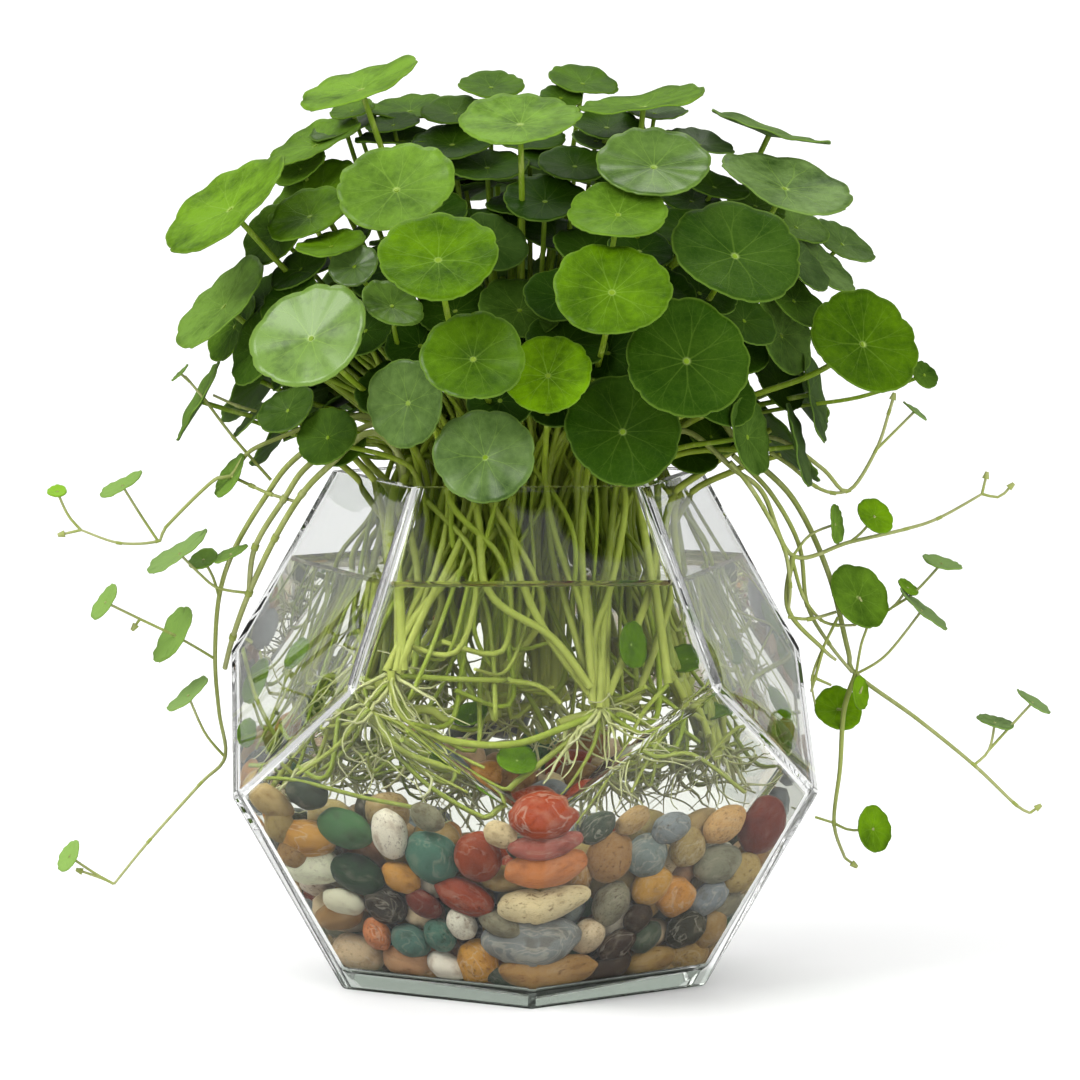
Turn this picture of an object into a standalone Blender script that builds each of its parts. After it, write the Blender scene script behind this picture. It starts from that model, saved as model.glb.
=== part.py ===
"""Aquatic pennywort that stands in water over a bed of pebbles, in a faceted glass vase.

The origin is the centre of the vase's flat underside, +Z is up, and -Y is the side that faces the
front eye point. Every length below is in millimetres; MM turns it into metres for Blender.
"""

import math
import random

import bmesh
import bpy
from mathutils import Matrix, Vector

MM = 0.001
GAP = 0.3  # clear air between two pieces that rest on each other
SHARP_ANGLE = math.radians(40)  # edges bent by more than this are shaded sharp

# The vase: a nearly regular dodecahedron of glass with its top face left open
VASE_HEIGHT = 150.0
BOTTOM_RADIUS = 45.5  # from the axis to the middle of a bottom edge
RIM_RADIUS = 47.0  # from the axis to the middle of a rim edge
FACE_SLOPE = 0.47  # run over rise of the ten leaning faces
WALL = 3.0
BASE_THICKNESS = 6.0
EDGE_ROUND = 0.9
UPPER_FACES = (270, 342, 54, 126, 198)
LOWER_FACES = (306, 18, 90, 162, 234)

# What the vase holds
WATER_LEVEL = 121.0
BED_TOP = 50.0  # of the bed's fill, below its top pebbles
WATER_FLOOR = 60.0  # the water's solid stands on the tips of the top pebbles
PEBBLE = (9.0, 7.0, 5.5)  # half length, width and height of a usual pebble
PEBBLE_RINGS = ((1, 0, 1), (4, 21, 0), (6, 40, 1), (9, 60, 2))  # count, distance and lift
PEBBLE_SIZES = (0.88, 1.12)  # smallest and largest, against a usual one
PEBBLE_SHIFT = 1.5  # how far a pebble stands above or below its ring
PEBBLE_SEED = 3

# The front eye point that the leaves were measured from
EYE_DISTANCE = 1720.0
EYE_HEIGHT = 284.0
EYE_PITCH = math.radians(5.1)
EYE_TURN = math.radians(3.3)
EYE_SIDE = 5.6
FOCAL = 5859.0  # in the picture's own px
PICTURE = 1080.0

# Leaves and their stalks
BLADE_THICKNESS = 0.7
BLADE_CUP = 0.06  # how far the rim stands above the hub, for a radius of 1
BLADE_SIDES = 8
FURTHER_SIDES = 7
STALK_FOOT = 1.35
STALK_TOP = 0.9
STALK_SIDES = 3
STALK_STEPS = 3  # points on each half of a stalk's path
STALK_LEAVE = 0.6  # how far a stalk rises from its plant, against its way to the mouth
STALK_CROSS = 0.9  # how far it rises in the mouth, against its way to the leaf
STALK_ARRIVE = 0.5  # how far it keeps its way at the leaf, against the blade's upward side
NECK_HEIGHT = 152.0  # where a stalk's place in the mouth is given
ROOM = 3.2  # how far a plant's room in the water reaches from the middle of its stems
RHIZOME = 2.6
RHIZOME_SIDES = 6
ROOT = 0.8
ROOT_SIDES = 3
ROOT_SPREAD = 1.08
ROOT_STOP = 10.0  # how far above the bed's fill the thick roots end, at its top pebbles' tips

# Runners: thin stems that hang over the rim, with small leaves and buds
RUNNER_SIDES = 4
TWIG = 0.55
TWIG_SIDES = 3
SMALL_SIDES = 6
BUD = 1.6


def eye_axes():
    right = Vector((math.cos(EYE_TURN), -math.sin(EYE_TURN), 0.0))
    level = Vector((math.sin(EYE_TURN), math.cos(EYE_TURN), 0.0))
    up = Vector((0.0, 0.0, math.cos(EYE_PITCH))) + level * math.sin(EYE_PITCH)
    ahead = level * math.cos(EYE_PITCH) - Vector((0.0, 0.0, math.sin(EYE_PITCH)))
    eye = right * EYE_SIDE - level * EYE_DISTANCE + Vector((0.0, 0.0, EYE_HEIGHT))
    return right, up, ahead, level, eye


RIGHT, UP, AHEAD, LEVEL, EYE = eye_axes()


def seen_at(across, down, depth):
    """The point seen at this place in the picture, this far behind the upright plane through the axis."""
    half = PICTURE / 2
    ray = AHEAD + RIGHT * (across - half) / FOCAL + UP * (half - down) / FOCAL
    return EYE + ray * ((depth - EYE.dot(LEVEL)) / ray.dot(LEVEL))


def facing(openness, turn):
    """The upper side's direction of a round leaf that is seen as an ellipse.

    openness is the ellipse's short axis over its long one, turn is how far the short axis leans
    to the right of upright, in degrees.
    """
    lean = math.radians(turn)
    aside = RIGHT * math.sin(lean) + UP * math.cos(lean)
    return aside * math.sqrt(1 - openness * openness) - AHEAD * openness


# Leaf: plant it grows from, place of its hub in the picture (px) with its depth (mm), width (mm),
# openness, turn, and the place in the vase's mouth (mm) that its stalk comes up through
LEAVES = {
    1: ("back_left", (360, 87, -8), 37, 0.31, -20, (-14, 6)),
    2: ("left", (228, 207, -14), 43, 0.41, -39, (-24, 0)),
    3: ("back_left", (314, 144, 12), 30, 0.35, -25, (-20, 12)),
    4: ("back", (410, 109, 24), 27, 0.32, -3, (-8, 14)),
    6: ("middle", (520, 122, -34), 35, 0.47, -4, (-1, -8)),
    7: ("back", (583, 82, 22), 22, 0.42, 12, (8, 14)),
    8: ("middle", (643, 104, -12), 37, 0.22, -8, (10, -2)),
    9: ("right", (770, 132, 8), 37, 0.12, 16, (20, 6)),
    10: ("right", (786, 186, -24), 39, 0.43, 17, (24, -6)),
    11: ("middle", (654, 165, -46), 33, 0.64, 3, (12, -14)),
    12: ("front_left", (396, 188, -48), 34, 0.76, -12, (-16, -20)),
    13: ("front_left", (438, 258, -79), 35, 0.71, -2, (-13, -29)),
    14: ("front_right", (618, 213, -62), 28, 0.62, -2, (7, -22)),
    15: ("right", (736, 254, -58), 39, 0.72, 22, (24, -19)),
    16: ("front_right", (612, 291, -78), 33, 0.82, 0, (15, -27)),
    17: ("front_right", (687, 360, -76), 36, 0.93, 10, (27, -29)),
    18: ("right", (864, 343, -34), 34, 0.80, 32, (33, -12)),
    19: ("left", (310, 337, -58), 35, 0.80, -32, (-29, -17)),
    20: ("front_left", (473, 358, -82), 30, 0.84, -6, (-4, -33)),
    21: ("front_right", (548, 375, -72), 25, 0.90, -6, (5, -35)),
    22: ("front_left", (407, 403, -68), 26, 0.83, -80, (-23, -32)),
    23: ("front_left", (485, 457, -77), 29, 0.92, -20, (-14, -37)),
    24: ("front_right", (623, 431, -68), 34, 0.92, 10, (17, -36)),
    25: ("left", (222, 305, -6), 34, 0.42, -47, (-31, -5)),
    26: ("left", (200, 401, 2), 27, 0.14, -62, (-34, 3)),
    29: ("left", (327, 437, -38), 19, 0.80, -40, (-32, -26)),
    36: ("middle", (520, 309, -42), 25, 0.70, 12, (3, -20)),
    39: ("right", (818, 262, 6), 28, 0.30, 42, (29, 1)),
    40: ("right", (783, 335, -18), 25, 0.58, 70, (34, -4)),
    41: ("front_right", (749, 437, -38), 23, 0.48, 80, (34, -21)),
}

# Further leaves, past the most pieces that the part may have. Each is joined to the plant of the leaf
# beside it, whose number stands first, before its place, width, openness and turn. Up to the mouth its
# stalk is one with that leaf's
FURTHER_LEAVES = (
    (1, (402, 139, 9), 28, 0.24, -2),
    (3, (316, 200, 1), 32, 0.58, -35),
    (2, (309, 215, -20), 25, 0.58, -25),
    (19, (331, 245, -34), 21, 0.36, -10),
    (12, (392, 305, -52), 19, 0.62, 25),
    (4, (491, 86, 14), 20, 0.45, 0),
    (6, (487, 166, -10), 25, 0.42, 0),
    (36, (493, 243, -34), 21, 0.75, 30),
    (25, (233, 326, 12), 23, 0.50, -65),
    (8, (700, 143, 2), 21, 0.35, 14),
    (9, (843, 243, 28), 21, 0.45, 30),
    (41, (797, 446, -20), 25, 0.16, 76),
    (39, (800, 262, -16), 22, 0.40, 50),
    (8, (690, 232, -26), 22, 0.55, 10),
    (6, (556, 236, -12), 20, 0.50, 8),
)

# The leaves on the far side stand in rings: height and distance of the hubs from the axis, their
# lean from level, their width, and the directions that they stand in
FAR_RINGS = (
    (206, 62, 30, 36, (28, 62, 98, 134)),
    (176, 84, 58, 32, (12, 48, 84, 120, 156)),
    (234, 50, 22, 34, (50, 95)),
    (154, 76, 76, 28, (66, 102)),
)
FAR_PLANTS = (("back_right", 75), ("back", 125), ("back_left", 181))  # up to which direction
FAR_NECK = 10.0  # a far leaf's stalk crosses the mouth this far from the axis
FAR_NECK_SHARE = 0.24  # and this share of its hub's distance further out

# A runner's stems run from the water over the rim (mm) and on through places seen outside (px, px,
# mm), with the radius at both ends. Each branch runs through places seen to what it bears: a small
# leaf of this width, openness and turn, or a bud
BUD_END = "bud"
RUNNERS = {
    "runner_left_long": {
        "stems": (
            (
                ((-50, 5, 88), (-38, -6, 140), (-37, -8, 157), (-47, -10, 168)),
                ((296, 458, -12), (264, 499, -10), (234, 550, -6), (219, 597, -2), (215, 659, 2),
                 (219, 712, 2), (225, 757, 2), (200, 784, -2), (149, 841, -12), (114, 884, -18)),
                1.1, 0.6,
            ),
        ),
        "branches": (
            (((114, 884, -18), (96, 874, -18), (69, 856, -18)), (10, 0.50, -60)),
            (((114, 884, -18), (104, 879, -18), (81, 871, -18)), BUD_END),
            (((225, 757, 2), (205, 733, 0), (188, 695, -3)), (15, 0.27, -40)),
            (((215, 659, 2), (197, 648, 0), (174, 635, -2)), (19, 0.40, -60)),
            (((174, 635, -2), (140, 619, -4), (105, 602, -6)), (12, 0.40, -58)),
            (((140, 619, -4), (135, 626, -4)), BUD_END),
            (((219, 597, -2), (213, 577, -2), (203, 559, -2)), (9, 0.60, -20)),
            (((219, 597, -2), (225, 576, -8), (231, 554, -13)), (11, 0.25, -25)),
        ),
    },
    "runner_left_pair": {
        "stems": (
            (
                ((-42, -16, 86), (-36, -17, 140), (-36, -19, 156), (-45, -21, 164)),
                ((330, 465, -24), (302, 494, -20), (275, 538, -15), (249, 593, -8), (233, 637, 0),
                 (225, 668, 8)),
                1.1, 0.8,
            ),
            (
                ((-36, -17, 140), (-36, -13, 154), (-43, -14, 166)),
                ((311, 463, -18), (284, 499, -15), (255, 547, -11), (249, 593, -8)),
                1.0, 0.8,
            ),
        ),
        "branches": (
            (((249, 593, -8), (218, 588, -9), (200, 574, -9), (179, 553, -9)), (21, 0.24, -35)),
        ),
    },
    "runner_left_top": {
        "stems": (
            (
                ((-38, 14, 90), (-34, 9, 145), (-41, 8, 166)),
                ((318, 424, 0), (284, 436, -2), (249, 452, -4), (231, 476, -4), (213, 481, -4),
                 (167, 526, 0), (158, 541, 0), (119, 543, 0), (81, 530, 0)),
                0.9, 0.55,
            ),
        ),
        "branches": (
            (((249, 452, -4), (231, 476, -4)), (15, 0.36, -58)),
            (((158, 541, 0), (140, 514, 0), (122, 485, 0)), (14, 0.28, -30)),
            (((81, 530, 0), (68, 515, 0), (57, 491, 0)), (6, 0.55, 0)),
            (((81, 530, 0), (63, 534, 0)), BUD_END),
        ),
    },
    "runner_right_top": {
        "stems": (
            (
                ((42, 10, 90), (39, 7, 145), (43, 7, 166), (52, 5, 174)),
                ((740, 430, -4), (783, 441, -6), (823, 469, -6), (848, 491, -6), (876, 450, -6),
                 (889, 412, -6), (893, 400, -6)),
                1.0, 0.6,
            ),
        ),
        "branches": (
            (((889, 412, -6), (893, 398, -6)), BUD_END),
            (((876, 450, -6), (893, 433, -6), (915, 411, -6)), (9, 0.14, 38)),
        ),
    },
    "runner_right_side": {
        "stems": (
            (
                ((42, -19, 90), (37, -18, 142), (38, -20, 158), (47, -22, 164)),
                ((735, 470, -24), (763, 493, -20), (793, 556, -12), (850, 542, -8), (906, 529, -4),
                 (939, 518, -4), (982, 494, -4)),
                1.1, 0.6,
            ),
            (
                (),
                ((793, 556, -12), (788, 609, -13), (823, 649, -10), (836, 660, -9)),
                0.9, 0.6,
            ),
        ),
        "branches": (
            (((982, 494, -4), (986, 477, -4)), BUD_END),
            (((982, 494, -4), (999, 497, -4), (1010, 487, -4)), BUD_END),
            (((850, 542, -8), (862, 532, -9), (875, 516, -10)), (12, 0.72, 42)),
            (((793, 556, -12), (810, 535, -12), (836, 524, -12)), (12, 0.34, 86)),
        ),
    },
    "runner_right_long": {
        "stems": (
            (
                ((50, -4, 92), (43, -4, 138), (41, -4, 152), (46, -6, 163), (56, -8, 168)),
                ((745, 452, -8), (793, 499, 0), (828, 572, 0), (848, 650, 0), (856, 674, 0),
                 (916, 718, -8), (974, 765, -14), (1015, 804, -18), (1030, 813, -18)),
                1.3, 0.65,
            ),
            (
                (),
                ((856, 674, 0), (844, 710, 0), (840, 768, 0), (834, 823, 0), (845, 858, 0)),
                0.9, 0.6,
            ),
        ),
        "branches": (
            (((856, 674, 0), (861, 645, -4), (868, 620, -8), (859, 597, -10)), (21, 0.72, 48)),
            (((856, 674, 0), (886, 655, -3), (922, 610, -6)), (18, 0.16, 40)),
            (((868, 620, -8), (893, 607, -4), (908, 587, -3)), (7, 0.45, 35)),
            (((893, 607, -4), (915, 592, -2), (942, 563, -2)), (12, 0.28, 15)),
            (((974, 765, -14), (989, 750, -14), (995, 722, -14)), (11, 0.28, 14)),
            (((989, 750, -14), (1009, 728, -14), (1033, 702, -14)), (12, 0.20, 35)),
            (((1030, 813, -18), (1037, 808, -18)), BUD_END),
            (((834, 823, 0), (850, 830, -2), (874, 829, -4)), (14, 0.72, 80)),
            (((844, 710, 0), (838, 709, 5)), (15, 0.80, 20)),
            (((845, 858, 0), (853, 864, 0)), BUD_END),
        ),
    },
}

# A plant: the foot of its stalks, and the two ends of its creeping stem as steps from the foot
PLANTS = {
    "front_left": ((-35, -38, 84), (-9, -2, 6), (12, -6, -5)),
    "front_right": ((22, -40, 82), (-14, -4, -4), (10, 3, 3)),
    "left": ((-46, -2, 80), (-3, -12, 3), (2, 12, -3)),
    "right": ((44, -8, 78), (4, -12, -2), (2, 13, 4)),
    "middle": ((0, -10, 76), (-13, -2, -2), (12, 2, 3)),
    "back": ((4, 32, 78), (-12, 4, 2), (13, 3, -3)),
    "back_left": ((-28, 32, 82), (-8, -8, 3), (8, 9, -3)),
    "back_right": ((34, 30, 80), (-9, 8, -2), (8, -9, 3)),
}


def clear_scene():
    for old in list(bpy.data.objects):
        bpy.data.objects.remove(old)


def finish(name, colour, roughness, transmission=0.0):
    """A plain Principled BSDF."""
    material = bpy.data.materials.new(name)
    material.use_nodes = True
    shader = material.node_tree.nodes["Principled BSDF"]
    shader.inputs["Base Color"].default_value = (*colour, 1.0)
    shader.inputs["Roughness"].default_value = roughness
    shader.inputs["Transmission Weight"].default_value = transmission
    return material


def add_object(name, bm, material, hidden=False, smooth=True):
    """Turns a bmesh that is in millimetres into an object in metres."""
    bmesh.ops.scale(bm, vec=(MM, MM, MM), verts=bm.verts)
    bmesh.ops.recalc_face_normals(bm, faces=bm.faces)
    mesh = bpy.data.meshes.new(name)
    bm.to_mesh(mesh)
    bm.free()
    if material:
        mesh.materials.append(material)
    made = bpy.data.objects.new(name, mesh)
    bpy.context.scene.collection.objects.link(made)
    if smooth:
        mesh.shade_smooth()
        mesh.set_sharp_from_angle(angle=SHARP_ANGLE)
    if hidden:
        made.hide_render = True
        made.display_type = "WIRE"
    return made


def boolean(target, cutter, operation):
    cut = target.modifiers.new(cutter.name, "BOOLEAN")
    cut.operation = operation
    cut.object = cutter
    cut.use_self = True


def vase_form(inset, bottom, top):
    """The solid inside the vase's twelve planes, all moved in by inset, between two heights."""
    bm = bmesh.new()
    bmesh.ops.create_cube(bm, size=4 * VASE_HEIGHT)
    planes = [((0, 0, bottom), (0, 0, -1)), ((0, 0, top), (0, 0, 1))]
    tiers = (
        (UPPER_FACES, RIM_RADIUS, VASE_HEIGHT, FACE_SLOPE),
        (LOWER_FACES, BOTTOM_RADIUS, 0.0, -FACE_SLOPE),
    )
    for faces, radius, height, slope in tiers:
        for face in faces:
            out = Vector((math.cos(math.radians(face)), math.sin(math.radians(face)), 0.0))
            normal = (out + Vector((0.0, 0.0, slope))).normalized()
            planes.append((out * radius + Vector((0.0, 0.0, height)) - normal * inset, normal))
    for point, normal in planes:
        everything = list(bm.verts) + list(bm.edges) + list(bm.faces)
        cut = bmesh.ops.bisect_plane(
            bm, geom=everything, plane_co=point, plane_no=normal, clear_outer=True
        )
        edges = [e for e in cut["geom_cut"] if isinstance(e, bmesh.types.BMEdge)]
        bmesh.ops.edgeloop_fill(bm, edges=edges)
    return bm


def tube(bm, points, radii, sides):
    """A closed tube along points, with its rings turned as little as possible from one to the next."""
    along = (points[1] - points[0]).normalized()
    side = along.orthogonal().normalized()
    rings = []
    for i, (point, radius) in enumerate(zip(points, radii)):
        before, after = points[max(i - 1, 0)], points[min(i + 1, len(points) - 1)]
        along = (after - before).normalized()
        side = (side - along * side.dot(along)).normalized()
        other = along.cross(side)
        ring = []
        for k in range(sides):
            angle = 2 * math.pi * k / sides
            ring.append(bm.verts.new(point + (side * math.cos(angle) + other * math.sin(angle)) * radius))
        rings.append(ring)
    for low, high in zip(rings, rings[1:]):
        for k in range(sides):
            n = (k + 1) % sides
            bm.faces.new((low[k], low[n], high[n], high[k]))
    bm.faces.new(list(reversed(rings[0])))
    bm.faces.new(rings[-1])


def curve_through(start, leave, middle, cross, end, arrive, count):
    """Points on two cubic pieces that meet at the middle point, with these directions on the way."""
    found = []
    for a, da, b, db in ((start, leave, middle, cross), (middle, cross, end, arrive)):
        reach = (b - a).length
        for i in range(count):
            t = i / count
            found.append(
                a * (2 * t**3 - 3 * t**2 + 1)
                + da * reach * (t**3 - 2 * t**2 + t)
                + b * (3 * t**2 - 2 * t**3)
                + db * reach * (t**3 - t**2)
            )
    found.append(end)
    return found


def blade(bm, hub, up, width, sides):
    """A round leaf, thin and a little cupped, its stalk's place in the middle of the underside."""
    up = up.normalized()
    side = up.orthogonal().normalized()
    other = up.cross(side)
    radius = width / 2
    middle = [bm.verts.new(hub), bm.verts.new(hub + up * BLADE_THICKNESS)]
    rings = [[], []]
    for k in range(sides):
        angle = 2 * math.pi * k / sides
        out = side * math.cos(angle) + other * math.sin(angle)
        edge = hub + out * radius + up * radius * BLADE_CUP
        rings[0].append(bm.verts.new(edge))
        rings[1].append(bm.verts.new(edge + up * BLADE_THICKNESS))
    for k in range(sides):
        n = (k + 1) % sides
        bm.faces.new((middle[0], rings[0][n], rings[0][k]))
        bm.faces.new((middle[1], rings[1][k], rings[1][n]))
        bm.faces.new((rings[0][k], rings[0][n], rings[1][n], rings[1][k]))


def all_leaves():
    """Every leaf of its own node: name, plant, hub, upward direction, width and place in the mouth."""
    leaves = []
    for number, (plant, seen, width, openness, turn, neck) in LEAVES.items():
        leaves.append((f"leaf_{number:02d}", plant, seen_at(*seen), facing(openness, turn), width, neck))
    count = 0
    for height, reach, lean, width, directions in FAR_RINGS:
        for direction in directions:
            count += 1
            turn = math.radians(direction)
            out = Vector((math.cos(turn), math.sin(turn), 0.0))
            up = out * math.sin(math.radians(lean)) + Vector((0, 0, math.cos(math.radians(lean))))
            plant = next(name for name, last in FAR_PLANTS if direction <= last)
            hub = out * reach + Vector((0, 0, height))
            spread = FAR_NECK + reach * FAR_NECK_SHARE
            neck = (out.x * spread, out.y * spread)
            leaves.append((f"leaf_far_{count:02d}", plant, hub, up, width, neck))
    return leaves


def further_leaves(plant):
    """Hub, upward direction, width and place in the mouth of the leaves that are joined to a plant."""
    found = []
    for beside, seen, width, openness, turn in FURTHER_LEAVES:
        owner, _, _, _, _, neck = LEAVES[beside]
        if owner == plant:
            found.append((seen_at(*seen), facing(openness, turn), width, neck))
    return found


def stalk_path(foot, hub, up, neck):
    """A leaf's stalk from its plant, up through the mouth, to just under the blade."""
    through = Vector((neck[0], neck[1], NECK_HEIGHT))
    end = hub - up * GAP
    rising = Vector((0.0, 0.0, 1.0))
    leave = ((through - foot).normalized() + rising * STALK_LEAVE).normalized()
    cross = ((end - through).normalized() + rising * STALK_CROSS).normalized()
    arrive = (up + (end - through).normalized() * STALK_ARRIVE).normalized()
    return curve_through(foot, leave, through, cross, end, arrive, STALK_STEPS)


def plant_ends(name):
    foot, low, high = (Vector(p) for p in PLANTS[name])
    return foot + low, foot + high


def plant_feet(name, count):
    """Where a plant's stalks stand along its creeping stem."""
    low, high = plant_ends(name)
    return [low.lerp(high, (i + 0.5) / count) for i in range(count)]


def root_tip(end):
    """Where the thick root at this end of a creeping stem goes in between the pebbles."""
    return Vector((end.x * ROOT_SPREAD, end.y * ROOT_SPREAD, BED_TOP + ROOT_STOP))


def plant_shapes(name, paths):
    """Two bmeshes: the creeping stem, and the stalks, further leaves and roots that run into it."""
    ends = plant_ends(name)
    stem, branches = bmesh.new(), bmesh.new()
    tube(stem, ends, [RHIZOME, RHIZOME], RHIZOME_SIDES)
    for path in paths:
        last = len(path) - 1
        radii = [STALK_FOOT + (STALK_TOP - STALK_FOOT) * i / last for i in range(last + 1)]
        tube(branches, path, radii, STALK_SIDES)
    for hub, up, width, neck in further_leaves(name):
        path = stalk_path(ends[0], hub, up, neck)[STALK_STEPS:]  # only what is past the mouth
        tube(branches, path, [STALK_TOP] * len(path), STALK_SIDES)
        blade(branches, path[-1] - up * BLADE_THICKNESS / 2, up, width, FURTHER_SIDES)
    for end in ends:
        tube(branches, [end, root_tip(end)], [ROOT, ROOT], ROOT_SIDES)
    return stem, branches


def make_plant(name, paths, material):
    stem, branches = plant_shapes(name, paths)
    whole = add_object("stems_" + name, stem, material)
    boolean(whole, add_object("stalks_" + name, branches, material, hidden=True), "UNION")


def runner_stem(bm, stem):
    inside, outside, thick, thin = stem
    path = [Vector(p) for p in inside] + [seen_at(*p) for p in outside]
    last = len(path) - 1
    tube(bm, path, [thick + (thin - thick) * i / last for i in range(last + 1)], RUNNER_SIDES)


def make_runner(name, runner, material):
    """A runner in one piece: its stems, twigs, small leaves and buds."""
    stem, branches = bmesh.new(), bmesh.new()
    runner_stem(stem, runner["stems"][0])
    for other in runner["stems"][1:]:
        runner_stem(branches, other)
    for points, bears in runner["branches"]:
        path = [seen_at(*p) for p in points]
        tube(branches, path, [TWIG] * len(path), TWIG_SIDES)
        if bears == BUD_END:
            bud = bmesh.ops.create_uvsphere(branches, u_segments=4, v_segments=2, radius=BUD)
            bmesh.ops.translate(branches, verts=bud["verts"], vec=path[-1])
        else:
            width, openness, turn = bears
            up = facing(openness, turn)
            blade(branches, path[-1] - up * BLADE_THICKNESS / 2, up, width, SMALL_SIDES)
    whole = add_object(name, stem, material)
    boolean(whole, add_object(name + "_branches", branches, material, hidden=True), "UNION")


def make_vase(glass):
    """The glass: the outer form less the inner one, which runs out through the top."""
    vase = add_object("glass_vase", vase_form(0.0, 0.0, VASE_HEIGHT), glass, smooth=False)
    rounded = vase.modifiers.new("edges", "BEVEL")
    rounded.width = EDGE_ROUND * MM
    rounded.segments = 1
    rounded.limit_method = "ANGLE"
    hollow = vase_form(WALL, BASE_THICKNESS, VASE_HEIGHT + WALL)
    boolean(vase, add_object("vase_hollow", hollow, None, hidden=True), "DIFFERENCE")


def pebbles():
    """The pebbles that stand out of the top of the bed, as rough ellipsoids in rings."""
    chance = random.Random(PEBBLE_SEED)
    bm = bmesh.new()
    for count, reach, lift in PEBBLE_RINGS:
        first = chance.uniform(0, 2 * math.pi)
        for i in range(count):
            turn = first + 2 * math.pi * i / count
            place = Vector((math.cos(turn), math.sin(turn), 0.0)) * reach
            place.z = BED_TOP + lift + chance.uniform(-PEBBLE_SHIFT, PEBBLE_SHIFT)
            stone = bmesh.ops.create_icosphere(bm, subdivisions=1, radius=1.0)["verts"]
            size = chance.uniform(*PEBBLE_SIZES)
            bmesh.ops.scale(bm, vec=[half * size for half in PEBBLE], verts=stone)
            spin = Matrix.Rotation(chance.uniform(0, math.pi), 3, "Z")
            bmesh.ops.rotate(bm, cent=(0, 0, 0), matrix=spin, verts=stone)
            bmesh.ops.translate(bm, vec=place, verts=stone)
    return bm


def make_bed(stone):
    """The pebble bed as one lumpy solid that the glass holds together."""
    core = vase_form(WALL + GAP, BASE_THICKNESS + GAP, BED_TOP)
    bed = add_object("pebble_bed", core, stone)
    boolean(bed, add_object("top_pebbles", pebbles(), None, hidden=True), "UNION")
    held = vase_form(WALL + GAP, BASE_THICKNESS + GAP, VASE_HEIGHT)
    boolean(bed, add_object("bed_held", held, None, hidden=True), "INTERSECT")


def make_water(clear, paths):
    """The water over the bed, with a room in it for each plant and runner that stands in it."""
    body = vase_form(WALL + GAP, WATER_FLOOR, WATER_LEVEL)
    water = add_object("water", body, clear, smooth=False)
    wet = {}
    for name, stalks in paths.items():
        ends = plant_ends(name)
        wet[name] = [*ends, *(root_tip(end) for end in ends)]
        for stalk in stalks:
            wet[name] += stalk[: STALK_STEPS + 1]
    for name, runner in RUNNERS.items():
        wet[name] = [Vector(p) for p in runner["stems"][0][0][:2]]
    for name, points in wet.items():
        bm = bmesh.new()
        for point in points:
            box = bmesh.ops.create_cube(bm, size=2 * ROOM)
            bmesh.ops.translate(bm, verts=box["verts"], vec=point)
        bmesh.ops.delete(bm, geom=list(bm.edges), context="EDGES_FACES")
        hull = bmesh.ops.convex_hull(bm, input=list(bm.verts))
        bmesh.ops.delete(bm, geom=[v for v in hull["geom_interior"] if v.is_valid], context="VERTS")
        boolean(water, add_object("room_" + name, bm, None, hidden=True), "DIFFERENCE")


def main():
    clear_scene()
    glass = finish("clear glass", (0.93, 0.97, 0.95), 0.02, transmission=1.0)
    clear = finish("water", (0.86, 0.90, 0.80), 0.0, transmission=1.0)
    stone = finish("river pebbles", (0.55, 0.46, 0.36), 0.45)
    leaf_green = finish("leaf green", (0.10, 0.30, 0.03), 0.35)
    stem_green = finish("stem green", (0.38, 0.50, 0.10), 0.40)
    make_vase(glass)
    make_bed(stone)
    grown = {name: [] for name in PLANTS}
    for leaf in all_leaves():
        grown[leaf[1]].append(leaf)
    paths = {}
    for plant, leaves in grown.items():
        feet = plant_feet(plant, len(leaves))
        paths[plant] = [
            stalk_path(foot, hub, up, neck)
            for foot, (_, _, hub, up, _, neck) in zip(feet, leaves)
        ]
        make_plant(plant, paths[plant], stem_green)
        for name, _, hub, up, width, _ in leaves:
            bm = bmesh.new()
            blade(bm, hub, up, width, BLADE_SIDES)
            add_object(name, bm, leaf_green)
    make_water(clear, paths)
    for name, runner in RUNNERS.items():
        make_runner(name, runner, stem_green)


main()
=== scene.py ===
import math
import random

import bmesh
import bpy
import numpy as np
from mathutils import Matrix, Vector


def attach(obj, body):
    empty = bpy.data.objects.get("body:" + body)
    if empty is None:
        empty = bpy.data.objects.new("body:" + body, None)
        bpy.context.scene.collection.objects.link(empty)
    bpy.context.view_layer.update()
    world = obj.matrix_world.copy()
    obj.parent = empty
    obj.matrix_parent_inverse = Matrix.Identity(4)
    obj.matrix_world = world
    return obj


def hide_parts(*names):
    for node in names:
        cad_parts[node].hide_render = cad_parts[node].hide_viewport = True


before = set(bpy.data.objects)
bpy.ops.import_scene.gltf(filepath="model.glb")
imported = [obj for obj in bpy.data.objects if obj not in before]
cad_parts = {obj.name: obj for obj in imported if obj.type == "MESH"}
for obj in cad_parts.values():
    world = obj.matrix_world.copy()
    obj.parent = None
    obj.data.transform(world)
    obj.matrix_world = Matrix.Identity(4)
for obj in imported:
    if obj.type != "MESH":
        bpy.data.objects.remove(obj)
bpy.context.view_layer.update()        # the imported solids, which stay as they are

mm = 0.001               # lengths in the dictionaries are in millimetres

# The front eye point. Places written (across, down, depth) are px of a square picture seen from it,
# and how far behind the upright plane through the vase's axis they are.
eye = {"distance": 1720, "height": 284, "pitch": 5.1, "turn": 3.3, "aside": 5.6,
       "focal": 5859, "picture": 1080, "sensor": 36}


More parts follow.
